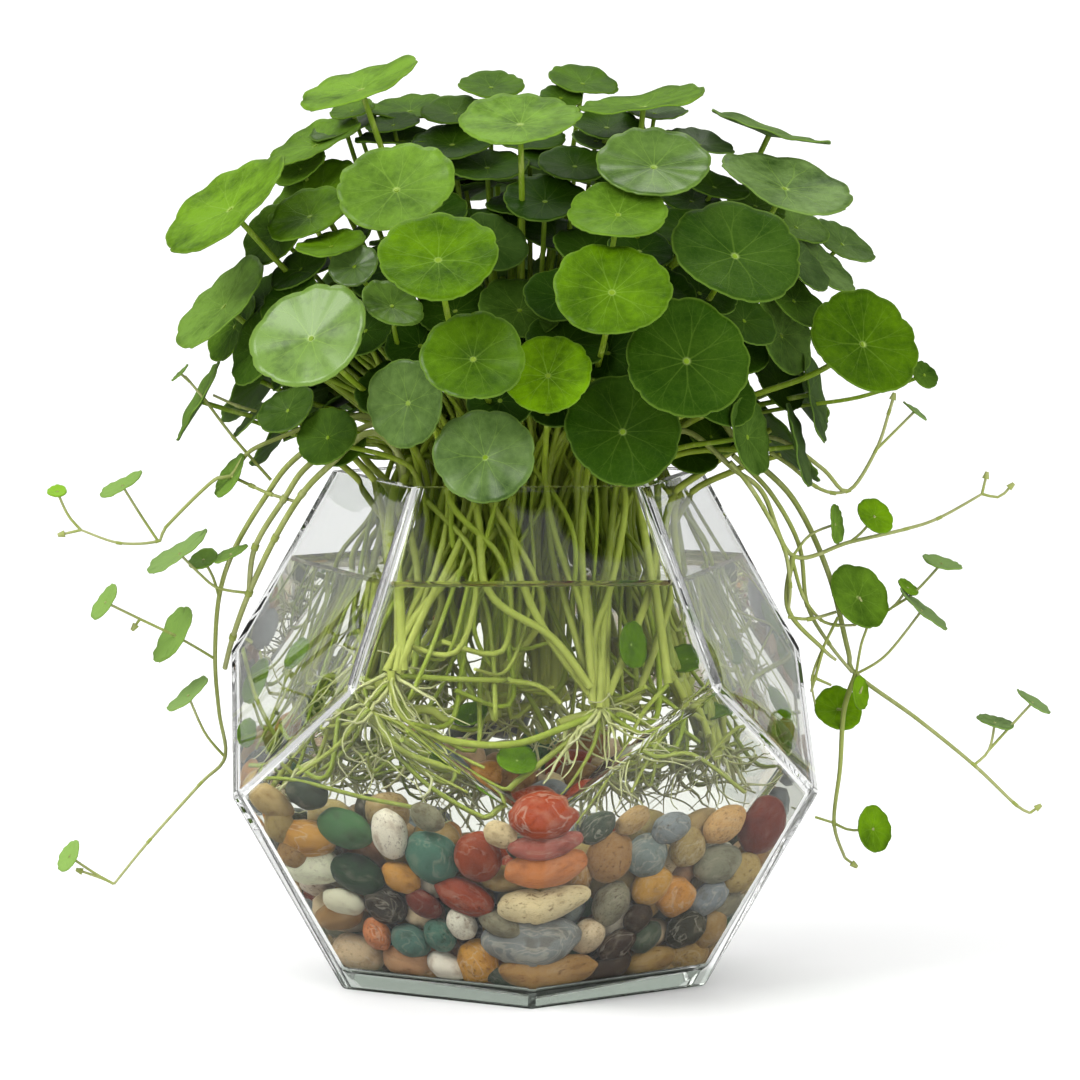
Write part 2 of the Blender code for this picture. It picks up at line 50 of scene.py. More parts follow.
def eyeAxes():
    turn, pitch = math.radians(eye["turn"]), math.radians(eye["pitch"])
    right = Vector((math.cos(turn), -math.sin(turn), 0))
    level = Vector((math.sin(turn), math.cos(turn), 0))
    over = Vector((0, 0, 1))
    upward = over * math.cos(pitch) + level * math.sin(pitch)
    ahead = level * math.cos(pitch) - over * math.sin(pitch)
    place = right * eye["aside"] - level * eye["distance"] + over * eye["height"]
    return right, upward, ahead, level, place


eyeRight, eyeUp, eyeAhead, eyeLevel, eyePlace = eyeAxes()


def rayThrough(across, down):
    half = eye["picture"] / 2
    return eyeAhead + eyeRight * (across - half) / eye["focal"] + eyeUp * (half - down) / eye["focal"]


def seenAt(across, down, depth):
    ray = rayThrough(across, down)
    return eyePlace + ray * ((depth - eyePlace.dot(eyeLevel)) / ray.dot(eyeLevel))


def facing(openness, turn):
    # upper side of a round leaf seen as an ellipse: short axis over long, and its lean to the right
    lean = math.radians(turn)
    aside = eyeRight * math.sin(lean) + eyeUp * math.cos(lean)
    return aside * math.sqrt(1 - openness * openness) - eyeAhead * openness


# Node trees

class wire:
    # a number inside a node tree, so that a chain of Math nodes is written as a sum
    def __init__(self, tree, socket):
        self.tree, self.socket = tree, socket

    def run(self, operation, *others):
        made = self.tree.nodes.new("ShaderNodeMath")
        made.operation = operation
        for slot, value in zip(made.inputs, (self, *others)):
            feed(self.tree, slot, value)
        return wire(self.tree, made.outputs[0])

    def __add__(self, other): return self.run("ADD", other)
    def __sub__(self, other): return self.run("SUBTRACT", other)
    def __mul__(self, other): return self.run("MULTIPLY", other)
    def __truediv__(self, other): return self.run("DIVIDE", other)
    def __pow__(self, other): return self.run("POWER", other)
    def __abs__(self): return self.run("ABSOLUTE")
    def __neg__(self): return self.run("MULTIPLY", -1)
    def __rsub__(self, other): return -self + other
    def __rtruediv__(self, other): return self ** -1 * other
    __radd__, __rmul__ = __add__, __mul__

    def sine(self): return self.run("SINE")
    def cosine(self): return self.run("COSINE")
    def clamped(self): return self.run("MAXIMUM", 0).run("MINIMUM", 1)


def feed(tree, socket, value):
    if isinstance(value, wire):
        tree.links.new(value.socket, socket)
    elif isinstance(value, bpy.types.NodeSocket):
        tree.links.new(value, socket)
    else:
        socket.default_value = value


def node(tree, kind, inputs=None, **settings):
    made = tree.nodes.new(kind)
    for label, value in settings.items():
        setattr(made, label, value)
    for label, value in (inputs or {}).items():
        feed(tree, made.inputs[label], value)
    return made


def split(tree, vector):
    parts = node(tree, "ShaderNodeSeparateXYZ", {0: vector})
    return [wire(tree, parts.outputs[i]) for i in range(3)]


def join(tree, x, y, z):
    return node(tree, "ShaderNodeCombineXYZ", {0: x, 1: y, 2: z}).outputs[0]


def vectorMath(tree, operation, first, second=None, scale=None):
    made = node(tree, "ShaderNodeVectorMath", {0: first}, operation=operation)
    if second is not None:
        feed(tree, made.inputs[1], second)
    if scale is not None:
        feed(tree, made.inputs["Scale"], scale)
    return made.outputs["Value" if operation == "DOT_PRODUCT" else "Vector"]


def noise(tree, vector, scale, detail, **more):
    inputs = {"Vector": vector, "Scale": scale, "Detail": detail, **more}
    return wire(tree, node(tree, "ShaderNodeTexNoise", inputs).outputs["Fac"])


def newGroup(name, kind, inputs, outputs):
    tree = bpy.data.node_groups.new(name, kind)
    for side, sockets in (("INPUT", inputs), ("OUTPUT", outputs)):
        for label, form, *value in sockets:
            made = tree.interface.new_socket(label, in_out=side, socket_type="NodeSocket" + form)
            if value:
                made.default_value = value[0]
    return tree, node(tree, "NodeGroupInput").outputs, node(tree, "NodeGroupOutput").inputs


# Geometry trees

def namedValue(tree, label, form="FLOAT"):
    return node(tree, "GeometryNodeInputNamedAttribute", {"Name": label}, data_type=form).outputs["Attribute"]


def store(tree, geometry, label, value, form="FLOAT"):
    made = node(tree, "GeometryNodeStoreNamedAttribute",
                {"Geometry": geometry, "Name": label, "Value": value}, data_type=form)
    return made.outputs["Geometry"]


def finishTree(tree, geometry, given, end):
    # every tree ends in real geometry with its material
    real = node(tree, "GeometryNodeRealizeInstances", {"Geometry": geometry}).outputs["Geometry"]
    smooth = node(tree, "GeometryNodeSetShadeSmooth", {"Geometry": real}).outputs["Geometry"]
    dressed = node(tree, "GeometryNodeSetMaterial", {"Geometry": smooth, "Material": given["Material"]})
    feed(tree, end["Geometry"], dressed.outputs["Geometry"])


def makeLeafTree():
    # Each point of the mesh given becomes a round blade: a disc in polar steps, scalloped and bent
    tree, given, end = newGroup("leafBlades", "GeometryNodeTree", [
        ("Geometry", "Geometry"), ("Rings", "Int", 9), ("Spokes", "Int", 72),
        ("Lobe Depth", "Float", 0.05), ("Scallop Depth", "Float", 0.012), ("Dip", "Float", 0.05),
        ("Cup", "Float", 0.06), ("Wave", "Float", 0.03), ("Fold", "Float", 0.01),
        ("Material", "Material")], [("Geometry", "Geometry")])
    grid = node(tree, "GeometryNodeMeshGrid", {
        "Size X": 1.0, "Size Y": 1.0,
        "Vertices X": wire(tree, given["Spokes"]) + 1, "Vertices Y": wire(tree, given["Rings"]) + 1})
    u, v, _ = split(tree, grid.outputs["UV Map"])
    around, out = u * (2 * math.pi), v
    flat = join(tree, out * around.cosine(), out * around.sine(), 0.0)
    disc = node(tree, "GeometryNodeSetPosition", {"Geometry": grid.outputs["Mesh"], "Position": flat})
    disc = store(tree, disc.outputs["Geometry"], "spot", flat, "FLOAT_VECTOR")
    disc = node(tree, "GeometryNodeMergeByDistance", {"Geometry": disc, "Distance": 0.001}).outputs["Geometry"]
    turned = node(tree, "FunctionNodeEulerToRotation", {"Euler": namedValue(tree, "turned", "FLOAT_VECTOR")})
    placed = node(tree, "GeometryNodeInstanceOnPoints", {
        "Points": given["Geometry"], "Instance": disc, "Rotation": turned.outputs["Rotation"],
        "Scale": join(tree, *[namedValue(tree, "reach")] * 3)}).outputs["Instances"]
    real = node(tree, "GeometryNodeRealizeInstances", {"Geometry": placed}).outputs["Geometry"]

    # an unevenly stepped angle, so that no two lobes are alike; the veins read it from leafSpot
    seed, lobes, reach = (wire(tree, namedValue(tree, label)) for label in ("seed", "lobes", "reach"))
    x, y, _ = split(tree, namedValue(tree, "spot", "FLOAT_VECTOR"))
    angle = y.run("ARCTAN2", x)
    out = (x * x + y * y).run("SQRT")
    uneven = angle + (angle * 2 + seed * 5).sine() * 0.10 + (angle * 3 + seed * 9).sine() * 0.06
    notch = (1 - abs((uneven * lobes * 0.5).sine())) ** 1.6
    scallop = (1 - abs((uneven * lobes * 1.5).sine())) ** 1.3
    broad = (angle * 2 + seed * 7).sine() * 0.025 + (angle * 3 + seed * 3).sine() * 0.018
    margin = broad - notch * wire(tree, given["Lobe Depth"]) - scallop * wire(tree, given["Scallop Depth"])
    spread = margin * out ** 3
    spot = join(tree, out * uneven.cosine(), out * uneven.sine(), lobes)
    real = store(tree, real, "leafSpot", spot, "FLOAT_VECTOR")

    rise = (out ** 2 * wire(tree, given["Cup"]) - (1 - out) ** 4 * wire(tree, given["Dip"])
            + out ** 3 * wire(tree, given["Wave"]) * (
                (angle * 2 + seed * 11).sine() + (angle * 3 + seed * 17).sine() * 0.7
                + (angle * 5 + seed * 23).sine() * 0.35)
            - out ** 2 * wire(tree, given["Fold"]) * (uneven * lobes).cosine())
    place = node(tree, "GeometryNodeInputPosition").outputs[0]
    fromHub = vectorMath(tree, "SUBTRACT", place, namedValue(tree, "hub", "FLOAT_VECTOR"))
    aside = vectorMath(tree, "SCALE", fromHub, scale=spread)
    lift = vectorMath(tree, "SCALE", namedValue(tree, "upSide", "FLOAT_VECTOR"), scale=rise * reach)
    shift = vectorMath(tree, "ADD", aside, lift)
    bent = node(tree, "GeometryNodeSetPosition", {"Geometry": real, "Offset": shift}).outputs["Geometry"]
    finishTree(tree, bent, given, end)
    return tree


def makeStalkTree():
    # Chains of edges become smooth tubes, as thick as their "thick" attribute says
    tree, given, end = newGroup("stalkTubes", "GeometryNodeTree", [
        ("Geometry", "Geometry"), ("Sides", "Int", 8), ("Step", "Float", 0.003),
        ("Material", "Material")], [("Geometry", "Geometry")])
    line = node(tree, "GeometryNodeMeshToCurve", {"Mesh": given["Geometry"]}).outputs["Curve"]
    smooth = node(tree, "GeometryNodeCurveSplineType", {"Curve": line}, spline_type="CATMULL_ROM")
    steps = node(tree, "GeometryNodeResampleCurve",
                 {"Curve": smooth.outputs["Curve"], "Length": given["Step"]}, mode="LENGTH")
    ring = node(tree, "GeometryNodeCurvePrimitiveCircle", {"Resolution": given["Sides"], "Radius": 1.0})
    tube = node(tree, "GeometryNodeCurveToMesh", {
        "Curve": steps.outputs["Curve"], "Profile Curve": ring.outputs["Curve"],
        "Scale": namedValue(tree, "thick"), "Fill Caps": True})
    finishTree(tree, tube.outputs["Mesh"], given, end)
    return tree


def makePebbleTree():
    # Each point of the mesh given becomes a pebble: a ball drawn out along its own axes and dented
    tree, given, end = newGroup("pebbles", "GeometryNodeTree", [
        ("Geometry", "Geometry"), ("Fineness", "Int", 3), ("Dent", "Float", 0.20),
        ("Material", "Material")], [("Geometry", "Geometry")])
    ball = node(tree, "GeometryNodeMeshIcoSphere", {"Radius": 1.0, "Subdivisions": given["Fineness"]})
    place = node(tree, "GeometryNodeInputPosition").outputs[0]
    ball = store(tree, ball.outputs["Mesh"], "ballSpot", place, "FLOAT_VECTOR")
    turned = node(tree, "FunctionNodeEulerToRotation", {"Euler": namedValue(tree, "turned", "FLOAT_VECTOR")})
    placed = node(tree, "GeometryNodeInstanceOnPoints", {
        "Points": given["Geometry"], "Instance": ball, "Rotation": turned.outputs["Rotation"],
        "Scale": namedValue(tree, "halves", "FLOAT_VECTOR")}).outputs["Instances"]
    real = node(tree, "GeometryNodeRealizeInstances", {"Geometry": placed}).outputs["Geometry"]
    spot = namedValue(tree, "ballSpot", "FLOAT_VECTOR")
    shifted = vectorMath(tree, "ADD", spot, vectorMath(
        tree, "SCALE", (7.0, 3.0, 5.0), scale=namedValue(tree, "seed")))
    dent = (noise(tree, shifted, 0.9, 1.0) - 0.5) * wire(tree, given["Dent"]) * 2
    fromMiddle = vectorMath(tree, "SUBTRACT", place, namedValue(tree, "middle", "FLOAT_VECTOR"))
    shaped = node(tree, "GeometryNodeSetPosition", {
        "Geometry": real, "Offset": vectorMath(tree, "SCALE", fromMiddle, scale=dent)})
    finishTree(tree, shaped.outputs["Geometry"], given, end)
    return tree


# Meshes that the trees start from

def pointMesh(name, places, edges=(), **values):
    mesh = bpy.data.meshes.new(name)
    mesh.from_pydata([tuple(place) for place in places], list(edges), [])
    for label, row in values.items():
        isVector = hasattr(row[0], "__len__")
        made = mesh.attributes.new(label, "FLOAT_VECTOR" if isVector else "FLOAT", "POINT")
        flat = np.array([tuple(v) if isVector else v for v in row], np.float32).ravel()
        made.data.foreach_set("vector" if isVector else "value", flat)
    return mesh


def plain(obj):
    # turns what the modifiers make into the object's own mesh
    bpy.context.view_layer.update()
    graph = bpy.context.evaluated_depsgraph_get()
    made = bpy.data.meshes.new_from_object(obj.evaluated_get(graph))
    obj.modifiers.clear()
    obj.data = made
    return obj


def grow(name, mesh, tree, settings, thickness=None):
    obj = bpy.data.objects.new(name, mesh)
    bpy.context.scene.collection.objects.link(obj)
    modifier = obj.modifiers.new(tree.name, "NODES")
    modifier.node_group = tree
    sockets = {item.name: item.identifier for item in tree.interface.items_tree if item.in_out == "INPUT"}
    for label, value in settings.items():
        modifier[sockets[label]] = value
    if thickness:
        wall = obj.modifiers.new("thickness", "SOLIDIFY")
        wall.thickness = thickness
        wall.offset = 1.0
    return plain(obj)


def put(obj, slot, *nodes):
    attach(obj, "root")
    if nodes:
        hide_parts(*nodes)
    return obj


# Materials

def attribute(tree, label, output="Vector"):
    return node(tree, "ShaderNodeAttribute", attribute_name=label).outputs[output]


def objectPlace(tree):
    return node(tree, "ShaderNodeTexCoord").outputs["Object"]


def mixed(tree, share, first, second, blend="MIX"):
    made = node(tree, "ShaderNodeMix", data_type="RGBA", blend_type=blend)
    for index, value in ((0, share), (6, first), (7, second)):
        feed(tree, made.inputs[index], (*value, 1) if isinstance(value, tuple) and len(value) == 3 else value)
    return made.outputs[2]


def smoothStep(tree, value, low, high):
    made = node(tree, "ShaderNodeMapRange", {"Value": value, "From Min": low, "From Max": high},
                interpolation_type="SMOOTHSTEP")
    return wire(tree, made.outputs["Result"])


def makeMottle():
    # soft blotches and a finer grain, as a value about 0.5
    tree, given, end = newGroup("mottle", "ShaderNodeTree",
                                [("Vector", "Vector"), ("Scale", "Float", 100.0), ("Grain", "Float", 0.3)],
                                [("Value", "Float")])
    scale, grain = wire(tree, given["Scale"]), wire(tree, given["Grain"])
    wide, fine = (noise(tree, given["Vector"], size, 2.0) for size in (scale, scale * 6))
    feed(tree, end["Value"], wide * (1 - grain) + fine * grain)
    return tree


def makeVeins():
    # A leaf's veins from its own flat place: each runs from the hub to a lobe and forks twice
    tree, given, end = newGroup("leafVeins", "ShaderNodeTree",
                                [("Spot", "Vector"), ("Width", "Float", 0.012)],
                                [("Vein", "Float"), ("Net", "Float"), ("Hub", "Float"), ("Out", "Float")])
    x, y, lobes = split(tree, given["Spot"])
    angle = y.run("ARCTAN2", x)
    out = (x * x + y * y).run("SQRT")
    sector = (2 * math.pi) / lobes.run("MAXIMUM", 3)
    fromVein = abs((angle / sector).run("FRACT") - 0.5) * sector
    firstFork = ((out - 0.38) / 0.62).clamped() * sector * 0.25
    secondFork = ((out - 0.68) / 0.32).clamped() * sector * 0.12
    apart = abs(abs(fromVein - firstFork) - secondFork) * out
    width = wire(tree, given["Width"]) * (1.15 - out * 0.75)
    vein = 1 - smoothStep(tree, apart, width * 0.35, width * 1.5)
    flat = join(tree, x, y, lobes * 0.37)
    cells = node(tree, "ShaderNodeTexVoronoi", {"Vector": flat, "Scale": 11.0}, feature="DISTANCE_TO_EDGE")
    net = 1 - smoothStep(tree, cells.outputs["Distance"], 0.01, 0.08)
    feed(tree, end["Vein"], vein)
    feed(tree, end["Net"], net)
    feed(tree, end["Hub"], 1 - smoothStep(tree, out, 0.01, 0.085))
    feed(tree, end["Out"], out)
    return tree


def makeStoneMarks():
    # Colour of one pebble: its own, with thin veins, specks and a bleached patch as its marks say
    tree, given, end = newGroup("stoneMarks", "ShaderNodeTree",
                                [("Spot", "Vector"), ("Colour", "Color"), ("Marks", "Vector")],
                                [("Colour", "Color"), ("Height", "Float")])
    bands, specks, seed = split(tree, given["Marks"])
    shifted = vectorMath(tree, "ADD", given["Spot"], vectorMath(tree, "SCALE", (3.1, 5.3, 2.2), scale=seed))
    patch = noise(tree, shifted, 1.3, 3.0)
    drawn = vectorMath(tree, "MULTIPLY", shifted, (0.8, 1.0, 2.4))
    offThread = abs(noise(tree, drawn, 0.9, 3.0, Distortion=0.6) - 0.5)
    dots = noise(tree, shifted, 5.0, 6.0, Roughness=0.8)
    band = (1 - smoothStep(tree, offThread, 0.004, 0.030)) * bands
    dot = smoothStep(tree, dots, 0.53, 0.64) * specks
    pale = mixed(tree, 0.28, given["Colour"], (0.78, 0.66, 0.50))
    deep = mixed(tree, 1.0, given["Colour"], (0.48, 0.36, 0.28), "MULTIPLY")
    colour = mixed(tree, smoothStep(tree, patch, 0.50, 0.72) * 0.60, given["Colour"], deep)
    colour = mixed(tree, smoothStep(tree, 1 - patch, 0.52, 0.74) * 0.50, colour, pale)
    colour = mixed(tree, band * 0.45, colour, mixed(tree, 0.45, pale, (0.80, 0.72, 0.60)))
    colour = mixed(tree, dot * 0.85, colour, mixed(tree, 1.0, deep, (0.60, 0.50, 0.42), "MULTIPLY"))
    feed(tree, end["Colour"], colour)
    feed(tree, end["Height"], dots * 0.6 + patch * 0.4)
    return tree


mottleGroup, veinGroup, stoneGroup = makeMottle(), makeVeins(), makeStoneMarks()


def startMaterial(name, **plainValues):
    material = bpy.data.materials.new(name)
    material.use_nodes = True
    shader = material.node_tree.nodes["Principled BSDF"]
    for label, value in plainValues.items():
        shader.inputs[label.replace("_", " ")].default_value = value
    return material, material.node_tree, shader


def addBump(tree, shader, height, strength, distance):
    bump = node(tree, "ShaderNodeBump", {"Height": height, "Strength": strength, "Distance": distance})
    feed(tree, shader.inputs["Normal"], bump.outputs["Normal"])


def clearWhere(tree, shader, share, colour=(1, 1, 1, 1)):
    # see-through where share is 1
    clear = node(tree, "ShaderNodeBsdfTransparent", {"Color": colour})
    both = node(tree, "ShaderNodeMixShader", {0: share, 1: shader.outputs["BSDF"], 2: clear.outputs["BSDF"]})
    feed(tree, tree.nodes["Material Output"].inputs["Surface"], both.outputs["Shader"])


def onlyMirrored(tree):
    rays = node(tree, "ShaderNodeLightPath").outputs
    return wire(tree, rays["Is Glossy Ray"]) * wire(tree, rays["Is Reflection Ray"])


def filledGroup(tree, which, inputs):
    made = tree.nodes.new("ShaderNodeGroup")
    made.node_tree = which
    for label, value in inputs.items():
        feed(tree, made.inputs[label], value)
    return made.outputs


# leaf colours: deep is the near-black green of the blotches and of the painted shade that low lightness gives;
# the cool green is partly a painted grey sheen
leafLook = {"deep": (0.007, 0.032, 0.0003), "warm": (0.140, 0.290, 0.0008), "coolSheen": (0.145, 0.225, 0.075),
            "vein": (0.240, 0.400, 0.050), "hub": (0.480, 0.620, 0.180), "under": (0.110, 0.210, 0.035),
            "roughness": 0.42}


def makeLeafMaterial():
    material, tree, shader = startMaterial("pennywortLeaf", Specular_IOR_Level=0.05, Coat_Roughness=0.30)
    spot = attribute(tree, "leafSpot")
    # lightness and warmth are partly each leaf's own tone and partly painted light: low lightness is painted
    # shade, high lightness a painted sheen and glow, and low warmth a painted grey sheen
    light, warm, shine = split(tree, attribute(tree, "tint"))
    veins = filledGroup(tree, veinGroup, {"Spot": spot})
    blotch = wire(tree, filledGroup(tree, mottleGroup, {"Vector": objectPlace(tree), "Scale": 90.0})["Value"])
    out = wire(tree, veins["Out"])
    tone = mixed(tree, warm, leafLook["coolSheen"], leafLook["warm"])
    tone = vectorMath(tree, "SCALE", tone, scale=light.run("MAXIMUM", 1))    # above 1, paler than the palette: partly pale tone, partly a painted sheen
    uneven = light * (1 + (blotch - 0.5) * 3.2)
    base = mixed(tree, uneven.clamped(), leafLook["deep"], tone)
    rim = smoothStep(tree, out, 0.955, 1.0) * 0.30
    base = mixed(tree, rim, base, leafLook["vein"])
    base = mixed(tree, wire(tree, veins["Net"]) * (0.02 + light * 0.06), base, leafLook["vein"])
    base = mixed(tree, wire(tree, veins["Vein"]) * (0.08 + light * 0.24) * (1.2 - out * 0.9),
                 base, leafLook["vein"])
    base = mixed(tree, wire(tree, veins["Hub"]) * 0.75, base, leafLook["hub"])
    normal = node(tree, "ShaderNodeNewGeometry").outputs["Normal"]
    over = wire(tree, vectorMath(tree, "DOT_PRODUCT", normal, attribute(tree, "upSide")))
    base = mixed(tree, smoothStep(tree, -over, 0.0, 0.3) * 0.55, base, leafLook["under"])
    feed(tree, shader.inputs["Base Color"], base)
    feed(tree, shader.inputs["Roughness"], leafLook["roughness"] + blotch * 0.12)
    feed(tree, shader.inputs["Coat Weight"], (shine - 0.05).clamped() * 0.85)
    height = wire(tree, veins["Vein"]) * -0.6 - wire(tree, veins["Net"]) * 0.25 + blotch * 0.3
    addBump(tree, shader, height, 0.30, 0.0005)
    return material


stalkLook = {"foot": (0.420, 0.460, 0.100), "middle": (0.260, 0.350, 0.025), "top": (0.170, 0.280, 0.012),
             "pale": (0.480, 0.540, 0.150), "dark": (0.100, 0.150, 0.012)}


def makeStalkMaterial(name, colours):
    material, tree, shader = startMaterial(name, Specular_IOR_Level=0.2)
    along = wire(tree, attribute(tree, "along", "Fac"))
    place = objectPlace(tree)
    drawn = vectorMath(tree, "MULTIPLY", place, (1.0, 1.0, 0.12))
    streak = wire(tree, filledGroup(tree, mottleGroup, {"Vector": drawn, "Scale": 420.0})["Value"])
    blotch = wire(tree, filledGroup(tree, mottleGroup, {"Vector": place, "Scale": 45.0})["Value"])
    base = mixed(tree, smoothStep(tree, along, 0.0, 0.55), colours["foot"], colours["middle"])
    base = mixed(tree, smoothStep(tree, along, 0.55, 1.0), base, colours["top"])
    base = mixed(tree, smoothStep(tree, streak, 0.50, 0.68) * 0.45, base, colours["pale"])
    base = mixed(tree, smoothStep(tree, blotch, 0.52, 0.72) * 0.45, base, colours["dark"])
    feed(tree, shader.inputs["Base Color"], base)
    feed(tree, shader.inputs["Roughness"], 0.30 + streak * 0.18)
    addBump(tree, shader, streak, 0.25, 0.0003)
    return material


def makePebbleMaterial():
    material, tree, shader = startMaterial("riverPebble", Specular_IOR_Level=0.15)
    marks = filledGroup(tree, stoneGroup, {"Spot": attribute(tree, "ballSpot"),
                                           "Colour": attribute(tree, "stoneColour", "Color"),
                                           "Marks": attribute(tree, "marks")})
    feed(tree, shader.inputs["Base Color"], marks["Colour"])
    feed(tree, shader.inputs["Roughness"], wire(tree, marks["Height"]) * 0.3 + 0.22)
    addBump(tree, shader, marks["Height"], 0.25, 0.0005)
    return material


def makeClearMaterial(name, colour, bend, ripple, mirror, lowColour=None):
    # the low colour is that of the thick base: its own tint, darkened further by painted shade; mirror is how
    # much of a free surface's reflection is left
    material, tree, shader = startMaterial(name, Transmission_Weight=1.0, Roughness=0.0, IOR=bend,
                                           Metallic=0.0)
    shader.inputs["Specular Tint"].default_value = (mirror, mirror, mirror, 1)
    shader.inputs["Base Color"].default_value = (*colour, 1)
    if lowColour:
        height = split(tree, objectPlace(tree))[2]
        both = mixed(tree, smoothStep(tree, height, 0.0045, 0.0075), lowColour, colour)
        feed(tree, shader.inputs["Base Color"], both)
    wave = filledGroup(tree, mottleGroup, {"Vector": objectPlace(tree), "Scale": 30.0, "Grain": 0.1})
    addBump(tree, shader, wave["Value"], 0.1, ripple)
    # what stands behind it is lit by the lamps as if through plain clear glass
    shadow = node(tree, "ShaderNodeLightPath").outputs["Is Shadow Ray"]
    clearWhere(tree, shader, shadow, (0.94, 0.96, 0.94, 1))
    return material


leafMaterial = makeLeafMaterial()
stalkMaterial = makeStalkMaterial("pennywortStalk", stalkLook)
rootMaterial = makeStalkMaterial("pennywortRoot", {
    "foot": (0.48, 0.51, 0.18), "middle": (0.58, 0.59, 0.28), "top": (0.64, 0.63, 0.38),
    "pale": (0.76, 0.75, 0.52), "dark": (0.32, 0.32, 0.11)})
runnerMaterial = makeStalkMaterial("pennywortRunner", {
    "foot": (0.270, 0.340, 0.050), "middle": (0.300, 0.350, 0.090), "top": (0.380, 0.400, 0.180),
    "pale": (0.500, 0.520, 0.260), "dark": (0.150, 0.190, 0.040)})
pebbleMaterial = makePebbleMaterial()
glassBend, waterBend, glassRipple, waterRipple = 1.50, 1.333, 0.0002, 0.0001
# the thick base's colour is far darker than the clear glass: its own tint together with painted shade
clearGlass, baseTintAndShade, clearWater = (0.915, 0.925, 0.918), (0.300, 0.345, 0.300), (0.970, 0.975, 0.900)
glassMaterial = makeClearMaterial("vaseGlass", clearGlass, glassBend, glassRipple, 1.0, baseTintAndShade)
wetGlassMaterial = makeClearMaterial("vaseGlassWet", clearGlass, glassBend, glassRipple, 0.2, baseTintAndShade)
# the water's top surface is tinted dark olive: painted shade over the stems seen through it
waterMaterial = makeClearMaterial("vaseWaterTop", (0.70, 0.69, 0.50), waterBend, waterRipple, 1.0)
# the band where the water climbs the glass is tinted dark: a painted dark line along the water's edge
waterEdgeMaterial = makeClearMaterial("vaseWaterEdge", (0.30, 0.31, 0.12), waterBend, waterRipple, 1.0)
heldWaterMaterial = makeClearMaterial("vaseWaterHeld", clearWater, waterBend, waterRipple, 0.4)
leafTree, stalkTree, pebbleTree = makeLeafTree(), makeStalkTree(), makePebbleTree()
print("materials and trees made")


# The vase

vase = {"height": 150, "bottomRadius": 45.5, "rimRadius": 47, "slope": 0.47, "wall": 3.0, "base": 6.0,
        "outerRound": 1.3, "innerRound": 2.0, "rimRound": 0.9, "widestRound": 120, "waterLevel": 123.4,
        "upperFaces": (270, 342, 54, 126, 198), "lowerFaces": (306, 18, 90, 162, 234)}


def vasePlanes(inset):
    # point and outward normal of each leaning face, moved in by inset
    found = []
    for faces, radius, height, slope in (
            (vase["upperFaces"], vase["rimRadius"], vase["height"], vase["slope"]),
            (vase["lowerFaces"], vase["bottomRadius"], 0, -vase["slope"])):
        for face in faces:
            out = Vector((math.cos(math.radians(face)), math.sin(math.radians(face)), 0))
            normal = (out + Vector((0, 0, slope))).normalized()
            found.append((out * radius + Vector((0, 0, height)) - normal * inset, normal))
    return found


def everything(bm):
    return list(bm.verts) + list(bm.edges) + list(bm.faces)


def vaseForm(inset, low, high, rounding):
    # a block cut by the vase's planes, with its edges rounded but for those on top
    bm = bmesh.new()
    bmesh.ops.create_cube(bm, size=4 * vase["height"])
    for point, normal in [((0, 0, low), (0, 0, -1)), ((0, 0, high), (0, 0, 1)), *vasePlanes(inset)]:
        cut = bmesh.ops.bisect_plane(bm, geom=everything(bm), plane_co=point, plane_no=normal, clear_outer=True)
        bmesh.ops.edgeloop_fill(bm, edges=[e for e in cut["geom_cut"] if isinstance(e, bmesh.types.BMEdge)])
    others = [e for e in bm.edges if any(v.co.z <= high - 0.01 for v in e.verts)]
    bmesh.ops.bevel(bm, geom=others, offset=rounding, segments=3, profile=0.5, affect="EDGES")
    return bm


def objectFrom(bm, name, material, scale=mm):
    bmesh.ops.scale(bm, vec=(scale,) * 3, verts=bm.verts)
    bmesh.ops.recalc_face_normals(bm, faces=bm.faces)
    mesh = bpy.data.meshes.new(name)
    bm.to_mesh(mesh)
    bm.free()
    if material:
        mesh.materials.append(material)
    made = bpy.data.objects.new(name, mesh)
    bpy.context.scene.collection.objects.link(made)
    return made


def seenInWater(across, down, depth):
    # as seenAt, but for what is in the water: the ray bends where it meets the glass
    ray = rayThrough(across, down).normalized()
    reach, normal = max(((point - eyePlace).dot(normal) / ray.dot(normal), normal)
                        for point, normal in vasePlanes(vase["wall"]) if ray.dot(normal) < -0.05)
    entry, slant, ratio = eyePlace + ray * reach, ray.dot(normal), 1 / waterBend
    bent = ray * ratio - normal * (ratio * slant + math.sqrt(1 - ratio ** 2 * (1 - slant ** 2)))
    return entry + bent * max(2.0, (depth - entry.dot(eyeLevel)) / bent.dot(eyeLevel))


def shadeRounded(made):
    # the wide faces stay flat, and only the narrow ones that round the edges are smooth
    for face in made.data.polygons:
        face.use_smooth = face.area < vase["widestRound"] * mm * mm


def soak(made, wetMaterial, isWet):
    # glass and water that touch mirror almost nothing where they meet
    bm = bmesh.new()
    bm.from_mesh(made.data)
    cut = [f for f in bm.faces if isWet(f.calc_center_median() / mm)]
    parts = cut + list({e for f in cut for e in f.edges}) + list({v for f in cut for v in f.verts})
    bmesh.ops.bisect_plane(bm, geom=parts, plane_co=(0, 0, vase["waterLevel"] * mm), plane_no=(0, 0, 1))
    for face in bm.faces:
        middle = face.calc_center_median() / mm
        face.material_index = int(isWet(middle) and middle.z < vase["waterLevel"])
    bm.to_mesh(made.data)
    bm.free()
    made.data.materials.append(wetMaterial)


def isInnerFace(middle):
    within = min((point - middle).dot(normal) for point, normal in vasePlanes(0))
    return min(within, middle.z, vase["height"] - middle.z) > vase["wall"] / 2


